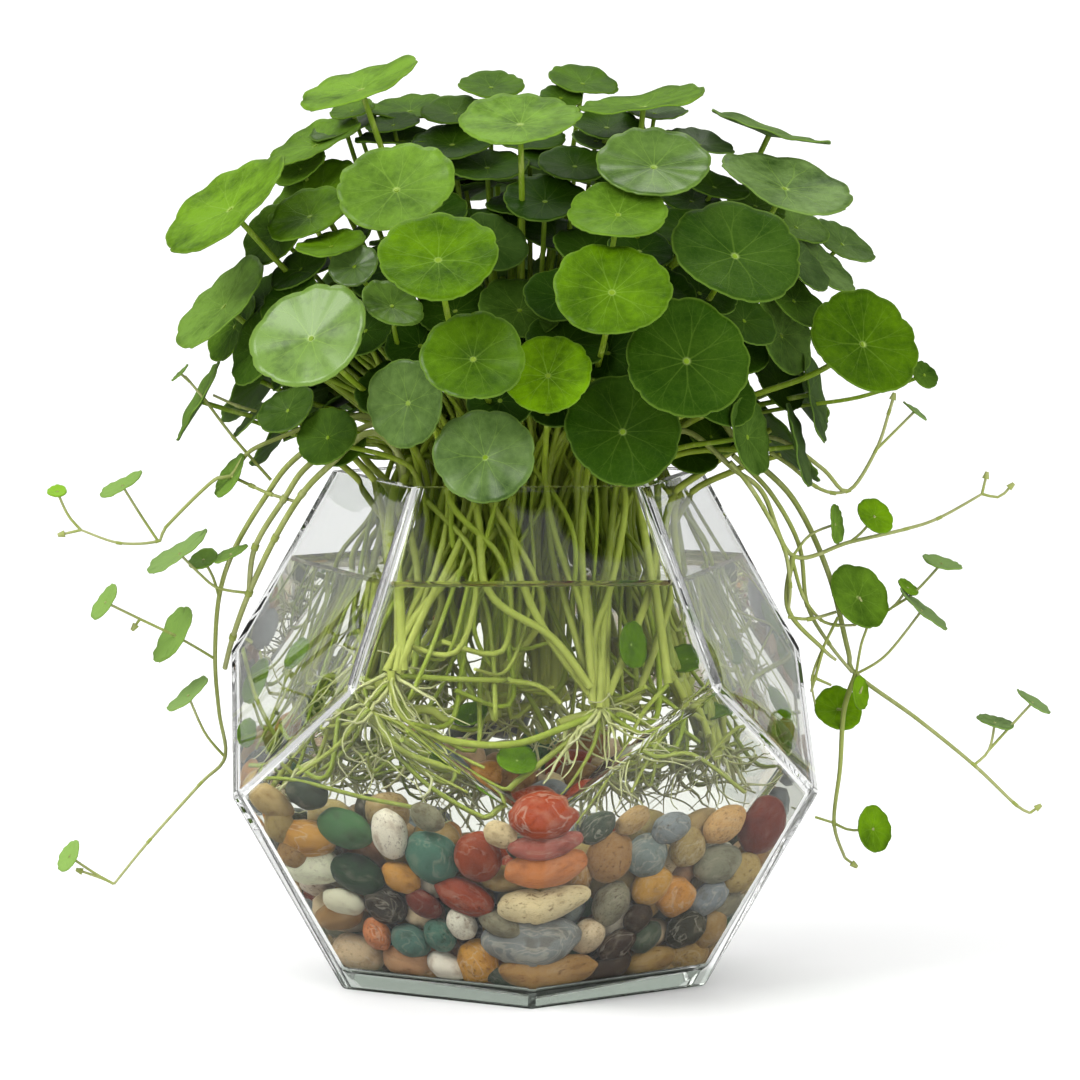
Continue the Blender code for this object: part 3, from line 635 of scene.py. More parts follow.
def makeVase():
    made = objectFrom(vaseForm(0, 0, vase["height"], vase["outerRound"]), "vase", glassMaterial)
    hollow = objectFrom(vaseForm(vase["wall"], vase["base"], vase["height"] + vase["wall"], vase["innerRound"]),
                        "vaseHollow", None)
    cut = made.modifiers.new("hollow", "BOOLEAN")
    cut.object = hollow
    rim = made.modifiers.new("rim", "BEVEL")
    rim.width = vase["rimRound"] * mm
    rim.segments = 3
    rim.limit_method = "ANGLE"
    rim.angle_limit = math.radians(50)
    plain(made)
    bpy.data.objects.remove(hollow)
    soak(made, wetGlassMaterial, isInnerFace)
    shadeRounded(made)
    return put(made, "vase_glass", "glass_vase")


# The water's edge climbs the glass: the band there, and the steps in and down from it; the band is tinted dark,
# a painted dark water line
waterSkin = {"inset": 0.06, "band": 1.4, "edge": ((0.5, 1.2), (0.8, 0.7), (1.6, 0.4))}


def makeWater():
    level, inset, band = vase["waterLevel"], waterSkin["inset"], waterSkin["band"]
    bm = vaseForm(vase["wall"] + inset, vase["base"] + inset, level, vase["innerRound"])
    top = [f for f in bm.faces if f.normal.z > 0.99 and f.calc_center_median().z > level - 0.1]
    for across, down in waterSkin["edge"]:
        bmesh.ops.inset_region(bm, faces=top, thickness=across, depth=0)
        for vert in {v for f in top for v in f.verts}:
            vert.co.z -= down
    bmesh.ops.bisect_plane(bm, geom=everything(bm), plane_co=(0, 0, level - band), plane_no=(0, 0, 1))
    made = objectFrom(bm, "water_body", waterMaterial)
    made.data.materials.append(heldWaterMaterial)
    made.data.materials.append(waterEdgeMaterial)
    surface = max((f for f in made.data.polygons if f.normal.z > 0.99), key=lambda f: f.area)
    # faces near the top take the dark edge tint, the painted dark water line; the rest are the clear held water
    for face in made.data.polygons:
        face.material_index = 2 if face.center.z > (level - 2 * band) * mm else 1
    surface.material_index = 0
    shadeRounded(made)
    return put(made, "water", "water")


makeVase()
makeWater()
print("vase and water made")


# The pebbles

stones = {"amber": (0.60, 0.28, 0.05), "beige": (0.42, 0.29, 0.12), "white": (0.86, 0.77, 0.64),
          "slate": (0.060, 0.075, 0.050), "green": (0.075, 0.19, 0.072), "deepGreen": (0.015, 0.050, 0.020),
          "teal": (0.082, 0.19, 0.145), "red": (0.32, 0.040, 0.008), "darkRed": (0.15, 0.018, 0.008),
          "cream": (0.78, 0.58, 0.36), "blueGrey": (0.22, 0.25, 0.26), "tan": (0.36, 0.20, 0.065),
          "brown": (0.040, 0.018, 0.009), "black": (0.028, 0.018, 0.010), "pink": (0.50, 0.25, 0.13),
          "grey": (0.24, 0.22, 0.15), "olive": (0.028, 0.024, 0.009), "orange": (0.58, 0.19, 0.06),
          "paleOrange": (0.64, 0.37, 0.15), "rose": (0.40, 0.10, 0.075)}

# Pebbles against the front glass: place in the picture, width and height there (px), tilt, stone
frontPebbles = (
    (268, 792, 44, 36, 20, "beige"), (312, 788, 46, 34, -15, "slate"), (314, 832, 64, 40, -22, "amber"),
    (351, 821, 56, 44, -15, "green"), (395, 828, 39, 54, 0, "white"), (310, 863, 62, 42, -25, "white"),
    (364, 867, 56, 44, -15, "deepGreen"), (440, 850, 54, 60, 0, "teal"), (484, 850, 46, 62, 25, "red"),
    (505, 829, 36, 30, -20, "cream"), (543, 814, 60, 38, 0, "red"), (545, 840, 64, 28, 0, "rose"),
    (546, 862, 74, 38, 0, "orange"), (542, 897, 84, 38, -5, "cream"), (530, 934, 94, 52, -5, "blueGrey"),
    (548, 968, 90, 36, 10, "tan"), (602, 850, 42, 64, -25, "tan"), (639, 850, 38, 54, -35, "blueGrey"),
    (664, 822, 42, 34, 30, "blueGrey"), (681, 841, 36, 46, -30, "beige"),
    (716, 818, 42, 40, 0, "paleOrange"), (758, 819, 48, 66, -5, "darkRed"), (710, 857, 50, 42, 20, "grey"),
    (644, 880, 40, 42, 15, "amber"), (604, 896, 38, 50, 0, "grey"), (668, 890, 36, 52, -35, "amber"),
    (679, 921, 42, 44, 10, "olive"), (702, 892, 40, 36, 0, "blueGrey"), (735, 867, 40, 44, 15, "beige"),
    (639, 931, 32, 34, 0, "slate"), (610, 938, 38, 34, 0, "brown"), (631, 912, 30, 32, 10, "brown"),
    (644, 960, 52, 32, 15, "tan"), (687, 957, 50, 34, 30, "tan"), (710, 926, 36, 40, 20, "tan"),
    (602, 970, 42, 34, 10, "brown"), (407, 872, 38, 34, 0, "amber"), (429, 898, 36, 30, 10, "darkRed"),
    (470, 890, 60, 40, 5, "red"), (391, 900, 44, 38, -20, "black"), (349, 897, 44, 30, -15, "white"),
    (336, 913, 60, 32, -38, "tan"), (382, 929, 28, 36, -10, "orange"), (416, 935, 40, 36, -15, "teal"),
    (445, 930, 32, 38, 10, "teal"), (467, 919, 32, 34, 0, "white"), (364, 956, 52, 42, -15, "cream"),
    (413, 962, 50, 36, -15, "pink"), (452, 964, 38, 32, -10, "white"), (483, 958, 40, 54, 20, "amber"),
    (740, 905, 34, 36, 0, "grey"), (773, 858, 34, 44, 20, "tan"), (285, 820, 30, 40, 10, "beige"),
    (275, 858, 30, 40, 30, "tan"), (432, 812, 34, 30, 0, "grey"), (590, 822, 38, 34, 0, "slate"),
    (626, 815, 34, 30, 0, "beige"), (505, 985, 40, 20, 0, "slate"), (585, 993, 44, 20, 0, "brown"),
    (425, 986, 44, 20, -5, "tan"), (655, 988, 44, 20, 5, "beige"))

pebbleBed = {"halves": (8.2, 6.4, 5.2), "spread": (0.78, 1.22), "count": 250, "top": 60, "seed": 11,
             "within": 60, "heights": (14, 76), "rounds": 260, "fall": 0.35, "push": 0.45, "tilt": 0.5,
             "flatness": 0.40, "taller": 1.08, "foreshortened": 0.6, "gap": 0.4, "shade": (0.95, 1.25),
             "behind": 25, "deep": 9, "upper": 46}      # what counts as near the glass or on top
innerStones = ("amber", "beige", "white", "slate", "green", "red", "cream", "blueGrey", "tan", "brown",
               "grey", "pink", "olive", "beige", "tan", "grey", "cream")
planeSet = vasePlanes(vase["wall"] + pebbleBed["gap"])
planeNormals = np.array([normal for _, normal in planeSet] + [(0, 0, -1)])
planeEnds = np.array([point.dot(normal) for point, normal in planeSet] + [-vase["base"] - pebbleBed["gap"]])


def frontPebble(across, down, width, height, tilt, stone):
    # on the ray through its place, its flat side against the inner faces that the ray meets there
    line, start = np.array(rayThrough(across, down).normalized()), np.array(eyePlace)
    normals, ends, least = planeNormals[:10], planeEnds[:10], pebbleBed["foreshortened"]
    towards = normals @ line
    entering = towards < -0.05
    reach = np.where(entering, (ends - normals @ start) / np.where(entering, towards, 1), -1e6)
    second, face = np.argsort(reach)[-2:]
    pixel = reach[face] / eye["focal"]
    edgeNear = max(0, 1 - (reach[face] - reach[second]) / (0.6 * width * pixel)) / 2
    normal = (Vector(normals[face]) * (1 - edgeNear) + Vector(normals[second]) * edgeNear).normalized()
    side = (eyeRight - normal * eyeRight.dot(normal)).normalized()
    stretch = 1 / max(least, math.sqrt(1 - eyeRight.dot(normal) ** 2))
    side = Matrix.Rotation(math.radians(-tilt), 3, normal) @ side
    rotation = Matrix((side, normal.cross(side), normal)).transposed()
    thin = min(width, height) * pixel * pebbleBed["flatness"]
    halves = (width * pixel / 2 * stretch, height * pixel / 2 * pebbleBed["taller"], thin)
    support = np.linalg.norm((planeNormals @ np.array(rotation)) * halves, axis=1)
    middle = start + line * reach[face]
    for _ in range(4):
        for k in range(len(planeNormals)):
            deep = planeNormals[k] @ middle + support[k] - planeEnds[k]
            if deep > 0:
                slant = -planeNormals[k] @ line
                middle = middle + (line * deep / slant if slant > 0.5 else -planeNormals[k] * deep)
    return middle, halves, rotation, stone


def randomTurn(chance, tilt):
    yaw = Matrix.Rotation(chance.uniform(0, 2 * math.pi), 3, "Z")
    return yaw @ Matrix.Rotation(chance.gauss(0, tilt), 3, "X") @ Matrix.Rotation(chance.gauss(0, tilt), 3, "Y")


def packPebbles():
    # Balls drawn out to pebbles settle: each round they sink, push each other apart and stay inside
    chance = random.Random(pebbleBed["seed"])
    fixed = [frontPebble(*row) for row in frontPebbles]
    loose = []
    for i in range(pebbleBed["count"]):
        turn, reach = chance.uniform(0, 2 * math.pi), pebbleBed["within"] * math.sqrt(chance.random())
        middle = (reach * math.cos(turn), reach * math.sin(turn), chance.uniform(*pebbleBed["heights"]))
        size = chance.uniform(*pebbleBed["spread"])
        halves = [half * size * chance.uniform(0.9, 1.1) for half in pebbleBed["halves"]]
        loose.append((middle, halves, randomTurn(chance, pebbleBed["tilt"]), chance.choice(innerStones)))
    rows = fixed + loose
    places = np.array([row[0] for row in rows], float)
    halves = np.array([row[1] for row in rows])
    turns = np.array([[list(line) for line in row[2]] for row in rows])
    free = np.arange(len(rows)) >= len(fixed)
    reachOut = np.linalg.norm(halves[:, None, :] * np.einsum("kj,njm->nkm", planeNormals, turns), axis=2)
    for i in range(pebbleBed["rounds"]):
        places[free, 2] -= pebbleBed["fall"] * (1 - i / pebbleBed["rounds"])
        apart = places[None, :, :] - places[:, None, :]
        distance = np.linalg.norm(apart, axis=2) + np.eye(len(rows)) * 1e3
        along = apart / distance[:, :, None]
        own = np.einsum("nkj,njm->nkm", along, turns)
        surface = 1 / np.linalg.norm(own / halves[:, None, :], axis=2)
        support = np.linalg.norm(own * halves[:, None, :], axis=2)
        touch = (surface + support) / 2
        overlap = np.clip(touch + touch.T - distance, 0, 3)
        push = -(along * overlap[:, :, None]).sum(axis=1) * pebbleBed["push"]
        places[free] += push[free]
        for k in range(len(planeNormals)):
            deep = places @ planeNormals[k] + reachOut[:, k] - planeEnds[k]
            places -= np.where(free & (deep > 0), deep, 0)[:, None] * planeNormals[k]
    keep = [i for i in range(len(rows)) if not free[i] or places[i, 2] < pebbleBed["top"]]
    return [(places[i], halves[i], rows[i][2], rows[i][3], not free[i]) for i in keep]


def isNearGlass(place):
    depth = min(planeEnds[:10] - planeNormals[:10] @ place)
    return place[1] < pebbleBed["behind"] and (depth < pebbleBed["deep"] or place[2] > pebbleBed["upper"])


def pebblePiece(name, rows, fineness, seed):
    chance = random.Random(seed)
    marks, colours = [], []
    for row in rows:
        shade = chance.uniform(*pebbleBed["shade"])
        colours.append([channel * shade * chance.uniform(0.94, 1.06) for channel in stones[row[3]]])
        marks.append((chance.choice((0, 0, 0.5, 1.0)), chance.choice((0.15, 0.5, 1.0)), chance.uniform(0, 20)))
    places = [Vector(row[0]) * mm for row in rows]
    mesh = pointMesh(name, places, middle=places, seed=[m[2] for m in marks], marks=marks,
                     halves=[Vector(row[1]) * mm for row in rows], stoneColour=colours,
                     turned=[tuple(row[2].to_euler()) for row in rows])
    made = grow(name, mesh, pebbleTree, {"Fineness": fineness, "Material": pebbleMaterial})
    return put(made, "pebbles", "pebble_bed")


packed = packPebbles()
pebblePiece("pebbles_front", [row for row in packed if row[4]], 4, 5)
seen, hidden = [], []
for row in packed:
    if not row[4]:
        (seen if isNearGlass(row[0]) else hidden).append(row)
pebblePiece("pebbles_seen", seen, 3, 6)
pebblePiece("pebbles_inner", hidden, 2, 7)
print(len(packed), "pebbles packed")


# The plants: creeping stems in the water, with leaf stalks and roots

plants = {"front_left": ((-35, -38, 84), (-9, -2, 6), (12, -6, -5)),
          "front_right": ((22, -40, 82), (-14, -4, -4), (10, 3, 3)),
          "left": ((-46, -2, 80), (-3, -12, 3), (2, 12, -3)),
          "right": ((44, -8, 78), (4, -12, -2), (2, 13, 4)),
          "middle": ((0, -10, 76), (-13, -2, -2), (12, 2, 3)),
          "back": ((4, 32, 78), (-12, 4, 2), (13, 3, -3)),
          "back_left": ((-28, 32, 82), (-8, -8, 3), (8, 9, -3)),
          "back_right": ((34, 30, 80), (-9, 8, -2), (8, -9, 3))}

# Radius at foot and top; then how a stalk passes the mouth and bends: how far upright it leaves and crosses,
# and how far along its own way it arrives
stalk = {"foot": 1.30, "top": 0.85, "neckHeight": 152, "beside": 2.2, "leave": 0.6, "cross": 0.9, "arrive": 0.5,
         "steps": 4, "room": 1.8, "inward": (0.30, 0.36), "loose": 3, "widest": 37}

# Numbered leaves: plant, where the stalk crosses the mouth (mm), and lightness, warmth and shine
# The lightness and warmth are partly each leaf's own tone and partly painted light: leaves deep in the crown
# are painted dark as shade, leaf 19 pale with a painted sheen, leaf 21 bright with a painted glow as if lit
# from behind
leafLooks = {
    1: ("back_left", (-14, 6), (0.85, 0.80, 0.05)), 2: ("left", (-24, 0), (0.75, 0.85, 0.05)),
    3: ("back_left", (-20, 12), (0.62, 0.80, 0.05)), 4: ("back", (-8, 14), (0.32, 0.95, 0.05)),
    6: ("middle", (-1, -8), (0.72, 0.70, 0.10)), 7: ("back", (8, 14), (0.30, 0.90, 0.05)),
    8: ("middle", (10, -2), (0.48, 0.85, 0.05)), 9: ("right", (20, 6), (0.60, 0.30, 0.10)),
    10: ("right", (24, -6), (0.68, 0.15, 0.10)), 11: ("middle", (12, -14), (0.45, 0.50, 0.60)),
    12: ("front_left", (-16, -20), (0.60, 0.75, 0.40)), 13: ("front_left", (-13, -29), (0.42, 1.00, 0.10)),
    14: ("front_right", (7, -22), (0.50, 0.80, 0.10)), 15: ("right", (24, -19), (0.16, 0.60, 0.05)),
    16: ("front_right", (15, -27), (0.44, 1.00, 0.20)), 17: ("front_right", (27, -29), (0.12, 0.80, 0.05)),
    18: ("right", (33, -12), (0.32, 1.00, 0.05)), 19: ("left", (-29, -17), (0.96, 0.50, 1.00)),
    20: ("front_left", (-4, -33), (0.36, 0.95, 0.50)), 21: ("front_right", (5, -35), (0.84, 1.00, 0.05)),
    22: ("front_left", (-23, -32), (0.46, 0.30, 0.40)), 23: ("front_left", (-14, -37), (0.54, 0.20, 0.60)),
    24: ("front_right", (17, -36), (0.10, 0.80, 0.10)), 25: ("left", (-31, -5), (0.78, 0.55, 0.10)),
    26: ("left", (-34, 3), (0.55, 0.50, 0.10)), 29: ("left", (-32, -26), (0.25, 0.70, 0.05)),
    36: ("middle", (3, -20), (0.25, 0.60, 0.05)), 39: ("right", (29, 1), (0.55, 0.20, 0.05)),
    40: ("right", (34, -4), (0.45, 0.50, 0.05)), 41: ("front_right", (34, -21), (0.30, 0.50, 0.05))}
farLook = (0.35, 0.7, 0.1)
usualLook = (0.7, 0.05)                 # warmth and shine where a row below gives only the lightness
farPlants = (("back_right", 75), ("back", 125), ("back_left", 181))    # up to which direction

# Further leaves: number of the leaf whose stalk stands beside theirs, place seen, width (mm), openness,
# turn and look
# their lightness, like that of the numbered leaves, is partly own tone and partly painted shade and sheen
furtherLeaves = (
    (1, (402, 139, 9), 28, 0.24, -2, (0.28, 0.85, 0.05)),
    (3, (316, 200, 1), 32, 0.58, -35, (0.46, 0.9, 0.05)),
    (2, (309, 215, -20), 25, 0.58, -25, (0.42, 0.9, 0.05)),
    (19, (331, 245, -34), 21, 0.36, -10, (0.55, 0.95, 0.05)),
    (12, (392, 305, -52), 19, 0.62, 25, (0.55, 0.6, 0.5)), (4, (491, 86, 14), 20, 0.45, 0, (0.3, 0.9, 0.05)),
    (6, (487, 166, -10), 25, 0.42, 0, 0.12), (36, (493, 243, -34), 21, 0.75, 30, (0.2, 0.3, 0.2)),
    (25, (233, 326, 12), 23, 0.5, -65, (0.35, 0.8, 0.05)), (8, (700, 143, 2), 21, 0.35, 14, (0.35, 0.1, 0.2)),
    (9, (843, 243, 28), 21, 0.45, 30, (0.4, 0.3, 0.2)), (41, (797, 446, -20), 25, 0.16, 76, (0.3, 0.2, 0.2)),
    (39, (800, 262, -16), 22, 0.4, 50, (0.3, 0.15, 0.2)), (8, (690, 232, -26), 22, 0.55, 10, 0.12),
    (6, (556, 236, -12), 20, 0.5, 8, 0.1))

# Leaves between these, as above but for the first number; their mostly low lightness paints the shade in the
# gaps between the leaves in front
betweenLeaves = (
    ((258, 347, -17), 25, 0.52, -68, 0.18), ((287, 410, -30), 18, 0.66, -35, (0.3, 0.55, 0.2)),
    ((354, 266, -42), 15, 0.8, -30, (0.5, 0.3, 0.8)), ((812, 394, -6), 30, 0.18, 78, (0.3, 0.2, 0.2)),
    ((925, 375, -10), 9, 0.7, 50, 0.3), ((560, 160, -5), 23, 0.4, 5, 0.12),
    ((590, 250, -35), 22, 0.55, 15, 0.1), ((715, 186, -8), 20, 0.42, 18, 0.16),
    ((700, 292, -45), 23, 0.6, 20, 0.1), ((608, 352, -48), 23, 0.75, -5, 0.08),
    ((780, 384, -4), 18, 0.66, 55, 0.18), ((345, 128, 18), 22, 0.3, -15, (0.25, 0.5, 0.3)),
    ((440, 172, 2), 24, 0.35, -3, 0.14), ((795, 300, -15), 22, 0.5, 45, 0.22),
    ((455, 310, -38), 23, 0.7, -10, 0.08), ((365, 330, -36), 20, 0.7, -35, 0.1),
    ((655, 112, 10), 19, 0.3, 4, (0.18, 0.3, 0.2)), ((300, 268, -12), 20, 0.5, -40, 0.14),
    ((745, 320, -35), 20, 0.6, 40, (0.14, 0.6, 0.2)), ((560, 295, -48), 21, 0.75, 0, 0.07),
    ((430, 215, -25), 23, 0.6, -10, 0.1), ((250, 420, 0), 13, 0.22, -48, (0.5, 0.2, 0.2)),
    ((596, 140, 4), 15, 0.4, 10, (0.3, 0.1, 0.2)), ((520, 205, -14), 20, 0.4, 0, 0.08),
    ((640, 250, -40), 20, 0.6, 10, 0.07), ((290, 300, -20), 20, 0.6, -45, 0.1),
    ((340, 340, -22), 20, 0.7, -30, 0.07), ((420, 345, -45), 20, 0.8, -10, 0.07),
    ((720, 395, -40), 22, 0.8, 30, 0.1), ((560, 400, -50), 20, 0.85, 0, 0.06),
    ((500, 400, -60), 20, 0.85, -6, 0.06), ((660, 300, -50), 22, 0.8, 8, 0.07),
    ((470, 225, -22), 20, 0.5, -5, 0.09), ((620, 175, -10), 22, 0.42, 6, 0.1),
    ((530, 140, 6), 22, 0.35, 0, 0.12), ((770, 245, 4), 22, 0.45, 30, 0.14),
    ((265, 300, 6), 20, 0.5, -50, 0.14), ((735, 345, -20), 22, 0.7, 30, 0.08),
    ((455, 112, 8), 20, 0.48, 0, (0.26, 0.8, 0.05)), ((452, 143, -4), 25, 0.46, -4, (0.14, 0.8, 0.05)),
    ((607, 126, 2), 23, 0.42, 5, (0.2, 0.6, 0.05)), ((797, 226, 16), 21, 0.46, 25, (0.4, 0.5, 0.05)),
    ((277, 233, 0), 24, 0.62, -50, (0.34, 0.8, 0.05)), ((561, 97, 14), 13, 0.6, 0, 0.24),
    ((692, 200, -8), 18, 0.52, 10, 0.14), ((756, 205, -2), 19, 0.5, 22, 0.22),
    ((352, 110, 16), 14, 0.42, -14, (0.45, 0.8, 0.05)), ((300, 168, 10), 17, 0.5, -30, (0.55, 0.8, 0.05)),
    ((393, 124, 8), 16, 0.4, -8, (0.2, 0.8, 0.05)), ((345, 448, -14), 15, 0.6, -35, (0.22, 0.9, 0.05)),
    ((690, 452, -10), 18, 0.7, 20, (0.12, 0.8, 0.05)), ((712, 436, -6), 17, 0.6, 30, (0.18, 0.8, 0.05)),
    ((545, 200, -26), 24, 0.6, 0, (0.08, 0.8, 0.05)), ((575, 165, -14), 22, 0.5, 4, (0.12, 0.8, 0.05)))

# Leaves that fill the crown's inside and far side, strewn under a dome; their low lightness is painted shade
# inside the crown
innerLeaves = {"count": 60, "seed": 21, "middle": (0, 4, 150), "radii": (92, 74, 98), "shell": (0.70, 0.90),
               "widths": (24, 36), "lowest": 176, "lowestBehind": 158, "behind": 10, "clear": 0.50,
               "crowded": 0.04, "tilt": 0.25, "look": (0.10, 0.7, 0.05)}
bladeForm = {"Lobe Depth": 0.042, "Scallop Depth": 0.012, "Dip": 0.055, "Cup": 0.075, "Wave": 0.030,
             "Fold": 0.017}
bladeThickness = 0.45


def leafFromNode(name):
    # hub, upper side and width of a numbered leaf, read from its solid
    corners = np.unique(np.round([tuple(v.co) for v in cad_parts[name].data.vertices], 6), axis=0) / mm
    nearest = corners[np.argsort(np.linalg.norm(corners - corners.mean(axis=0), axis=1))]
    hubs, rim = nearest[:2], nearest[2:]
    up = Vector(hubs[1] - hubs[0]).normalized()
    if up.dot(Vector(rim.mean(axis=0) - hubs.mean(axis=0))) < 0:
        up.negate()
    hub = Vector(min(hubs, key=lambda corner: Vector(corner).dot(up)))
    width = 2 * max(((Vector(c) - hub) - up * (Vector(c) - hub).dot(up)).length for c in rim)
    return hub, up, width


def leafRow(hub, up, width, look, seed):
    return {"hub": hub, "up": up.normalized(), "width": width, "look": look, "seed": seed}


def leafPiece(name, rows, rings, spokes, *nodes):
    turned, seeds, lobes = [], [], []
    for row in rows:
        chance = random.Random(row["seed"])
        up = row["up"]
        side = Matrix.Rotation(chance.uniform(0, 2 * math.pi), 3, up) @ up.orthogonal().normalized()
        basis = Matrix((side, up.cross(side), up)).transposed()
        turned.append(tuple(basis.to_euler()))
        seeds.append(chance.uniform(0, 10))
        lobes.append(float(chance.choice((9, 10, 11, 12))))
    hubs = [row["hub"] * mm for row in rows]
    mesh = pointMesh(name, hubs, hub=hubs, turned=turned, seed=seeds, lobes=lobes,
                     upSide=[row["up"] for row in rows], tint=[row["look"] for row in rows],
                     reach=[row["width"] / 2 * mm for row in rows])
    made = grow(name, mesh, leafTree, {"Rings": rings, "Spokes": spokes, "Material": leafMaterial, **bladeForm},
                bladeThickness * mm)
    return put(made, "leaf_blades", *nodes)


def curvePoints(start, leave, middle, cross, end, arrive, count):
    found = []
    for a, da, b, db in ((start, leave, middle, cross), (middle, cross, end, arrive)):
        reach = (b - a).length
        for i in range(count):
            t = i / count
            found.append(a * (2 * t**3 - 3 * t**2 + 1) + da * reach * (t**3 - 2 * t**2 + t)
                         + b * (3 * t**2 - 2 * t**3) + db * reach * (t**3 - t**2))
    return found + [end]


def clampInside(point, room):
    # keeps a point this far inside the glass
    for place, normal in vasePlanes(vase["wall"] + room):
        deep = (point - place).dot(normal)
        if deep > 0:
            point = point - normal * deep
    return point


def stalkPath(foot, row, neck, fan):
    # ends under the hub, which dips a little
    up = row["up"]
    hub = row["hub"] - up * (bladeForm["Dip"] * row["width"] / 2 - bladeThickness / 2)
    through = Vector((neck[0], neck[1], stalk["neckHeight"]))
    rising = Vector((0, 0, 1))
    leave = ((through - foot).normalized() + rising * stalk["leave"] + fan).normalized()
    cross = ((hub - through).normalized() + rising * stalk["cross"]).normalized()
    arrive = (up + (hub - through).normalized() * stalk["arrive"]).normalized()
    points = curvePoints(foot, leave, through, cross, hub, arrive, stalk["steps"])
    return [clampInside(p, stalk["room"]) if p.z < vase["waterLevel"] else p for p in points]


def plantEnds(name):
    foot, low, high = (Vector(p) for p in plants[name])
    return foot + low, foot + high


def tubePiece(name, paths, material, sides, step, slot, *nodes):
    # paths: points, thickness at each end, and where along the stalk's colours it starts and ends
    places, edges, thick, along = [], [], [], []
    for points, (thickLow, thickHigh), (low, high) in paths:
        last = len(points) - 1
        for i, point in enumerate(points):
            if i:
                edges.append((len(places) - 1, len(places)))
            places.append(point * mm)
            thick.append((thickLow + (thickHigh - thickLow) * i / last) * mm)
            along.append(low + (high - low) * i / last)
    mesh = pointMesh(name, places, edges, thick=thick, along=along)
    made = grow(name, mesh, stalkTree, {"Sides": sides, "Step": step * mm, "Material": material})
    return put(made, slot, *nodes)


def allLeaves():
    # every crown leaf by plant, and the leaf pieces' rows: (name, row, nodes)
    grown = {name: [] for name in plants}
    pieces = []
    for number, (plant, neck, look) in leafLooks.items():
        name = f"leaf_{number:02d}"
        row = leafRow(*leafFromNode(name), look, number)
        grown[plant].append((row, neck))
        pieces.append((name, row))
    for name in sorted(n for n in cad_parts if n.startswith("leaf_far")):
        row = leafRow(*leafFromNode(name), farLook, 100 + int(name[-2:]))
        flat = Vector((row["hub"].x, row["hub"].y))
        direction = math.degrees(math.atan2(flat.y, flat.x))
        plant = next(n for n, last in farPlants if direction <= last + 1)
        grown[plant].append((row, tuple(flat.normalized() * (10 + flat.length * 0.24))))
        pieces.append((name, row))
    return grown, pieces


def seenLeaves(rows, seed):
    found = []
    for i, (seen, width, openness, turn, look) in enumerate(rows):
        fullLook = look if isinstance(look, tuple) else (look, *usualLook)
        found.append(leafRow(seenAt(*seen), facing(openness, turn), width, fullLook, seed + i))
    return found


def strewnLeaves(taken):
    chance = random.Random(innerLeaves["seed"])
    middle, radii = Vector(innerLeaves["middle"]), innerLeaves["radii"]
    found = []
    while len(found) < innerLeaves["count"]:
        turn, rise = chance.uniform(0, 2 * math.pi), chance.uniform(0.02, 1)
        flat = math.sqrt(1 - rise * rise)
        out = Vector((flat * math.cos(turn), flat * math.sin(turn), rise))
        reach = chance.uniform(*innerLeaves["shell"])
        hub = middle + Vector((out[i] * radii[i] * reach for i in range(3)))
        width = chance.uniform(*innerLeaves["widths"])
        lowest = innerLeaves["lowest" if hub.y < innerLeaves["behind"] else "lowestBehind"]
        near = any((hub - other["hub"]).length < innerLeaves["clear"] * (width + other["width"]) / 2
                   for other in taken + found)
        if hub.z < lowest or near and chance.random() > innerLeaves["crowded"]:
            continue
        up = (out + Vector([chance.gauss(0, innerLeaves["tilt"]) for _ in range(2)] + [0.5])).normalized()
        found.append(leafRow(hub, up, width, innerLeaves["look"], 300 + len(found)))
    return found


def nearestPlant(neck):
    return min(plants, key=lambda name: (Vector(plants[name][0][:2]) - neck).length)


def addFurtherStalks(grown, rows):
    # a further leaf's stalk comes up beside its neighbour's, towards its own leaf
    bearing = set()
    for row, (number, *_) in zip(rows, furtherLeaves):
        plant, neck, _ = leafLooks[number]
        there = (Vector((row["hub"].x, row["hub"].y)) - Vector(neck)).normalized() * stalk["beside"]
        grown[plant].append((row, (neck[0] + there.x, neck[1] + there.y)))
        bearing.add(plant)
    return sorted(bearing)


def addStalks(grown, rows, seed):
    # the stalks of the remaining leaves come up through the mouth between the others
    chance = random.Random(seed)
    for row in rows:
        neck = Vector([row["hub"][i] * stalk["inward"][i] + chance.gauss(0, stalk["loose"]) for i in range(2)])
        if neck.length > stalk["widest"]:
            neck = neck.normalized() * stalk["widest"]
        grown[nearestPlant(neck)].append((row, tuple(neck)))


grown, numbered = allLeaves()
further = seenLeaves([row[1:] for row in furtherLeaves], 150)
between = seenLeaves(betweenLeaves, 200)
inner = strewnLeaves([row for _, row in numbered] + further + between)
for name, row in numbered:
    leafPiece(name + "_blade", [row], 9, 72, name)
leafPiece("leaves_further", further, 8, 64, *["stems_" + name for name in addFurtherStalks(grown, further)])
leafPiece("leaves_between", between, 8, 60)
leafPiece("leaves_inner", inner, 6, 48)
addStalks(grown, between, 31)
addStalks(grown, inner, 32)
print(len(numbered) + len(further) + len(between) + len(inner), "crown leaves grown")

root = {"thick": 0.45, "thin": 0.16, "length": (14, 40), "perNode": 8, "nodes": 4, "floor": 57, "seed": 41,
        "stoutShare": 0.25, "stout": 1.8, "steps": 6, "wander": 0.35, "room": 1.0}
rhizome = {"thick": 1.8, "points": 6, "wander": 2.0, "nodes": (0.22, 0.78), "spread": 0.05, "fan": 0.16,
           "bunch": 0.9}
# Where the stalks of these plants rise, and below which line of the picture water bends what is seen
nodeSeen = {"front_left": (394, 674, -50), "front_right": (600, 708, -52)}
waterLine, stemRoom = 582, 1.6

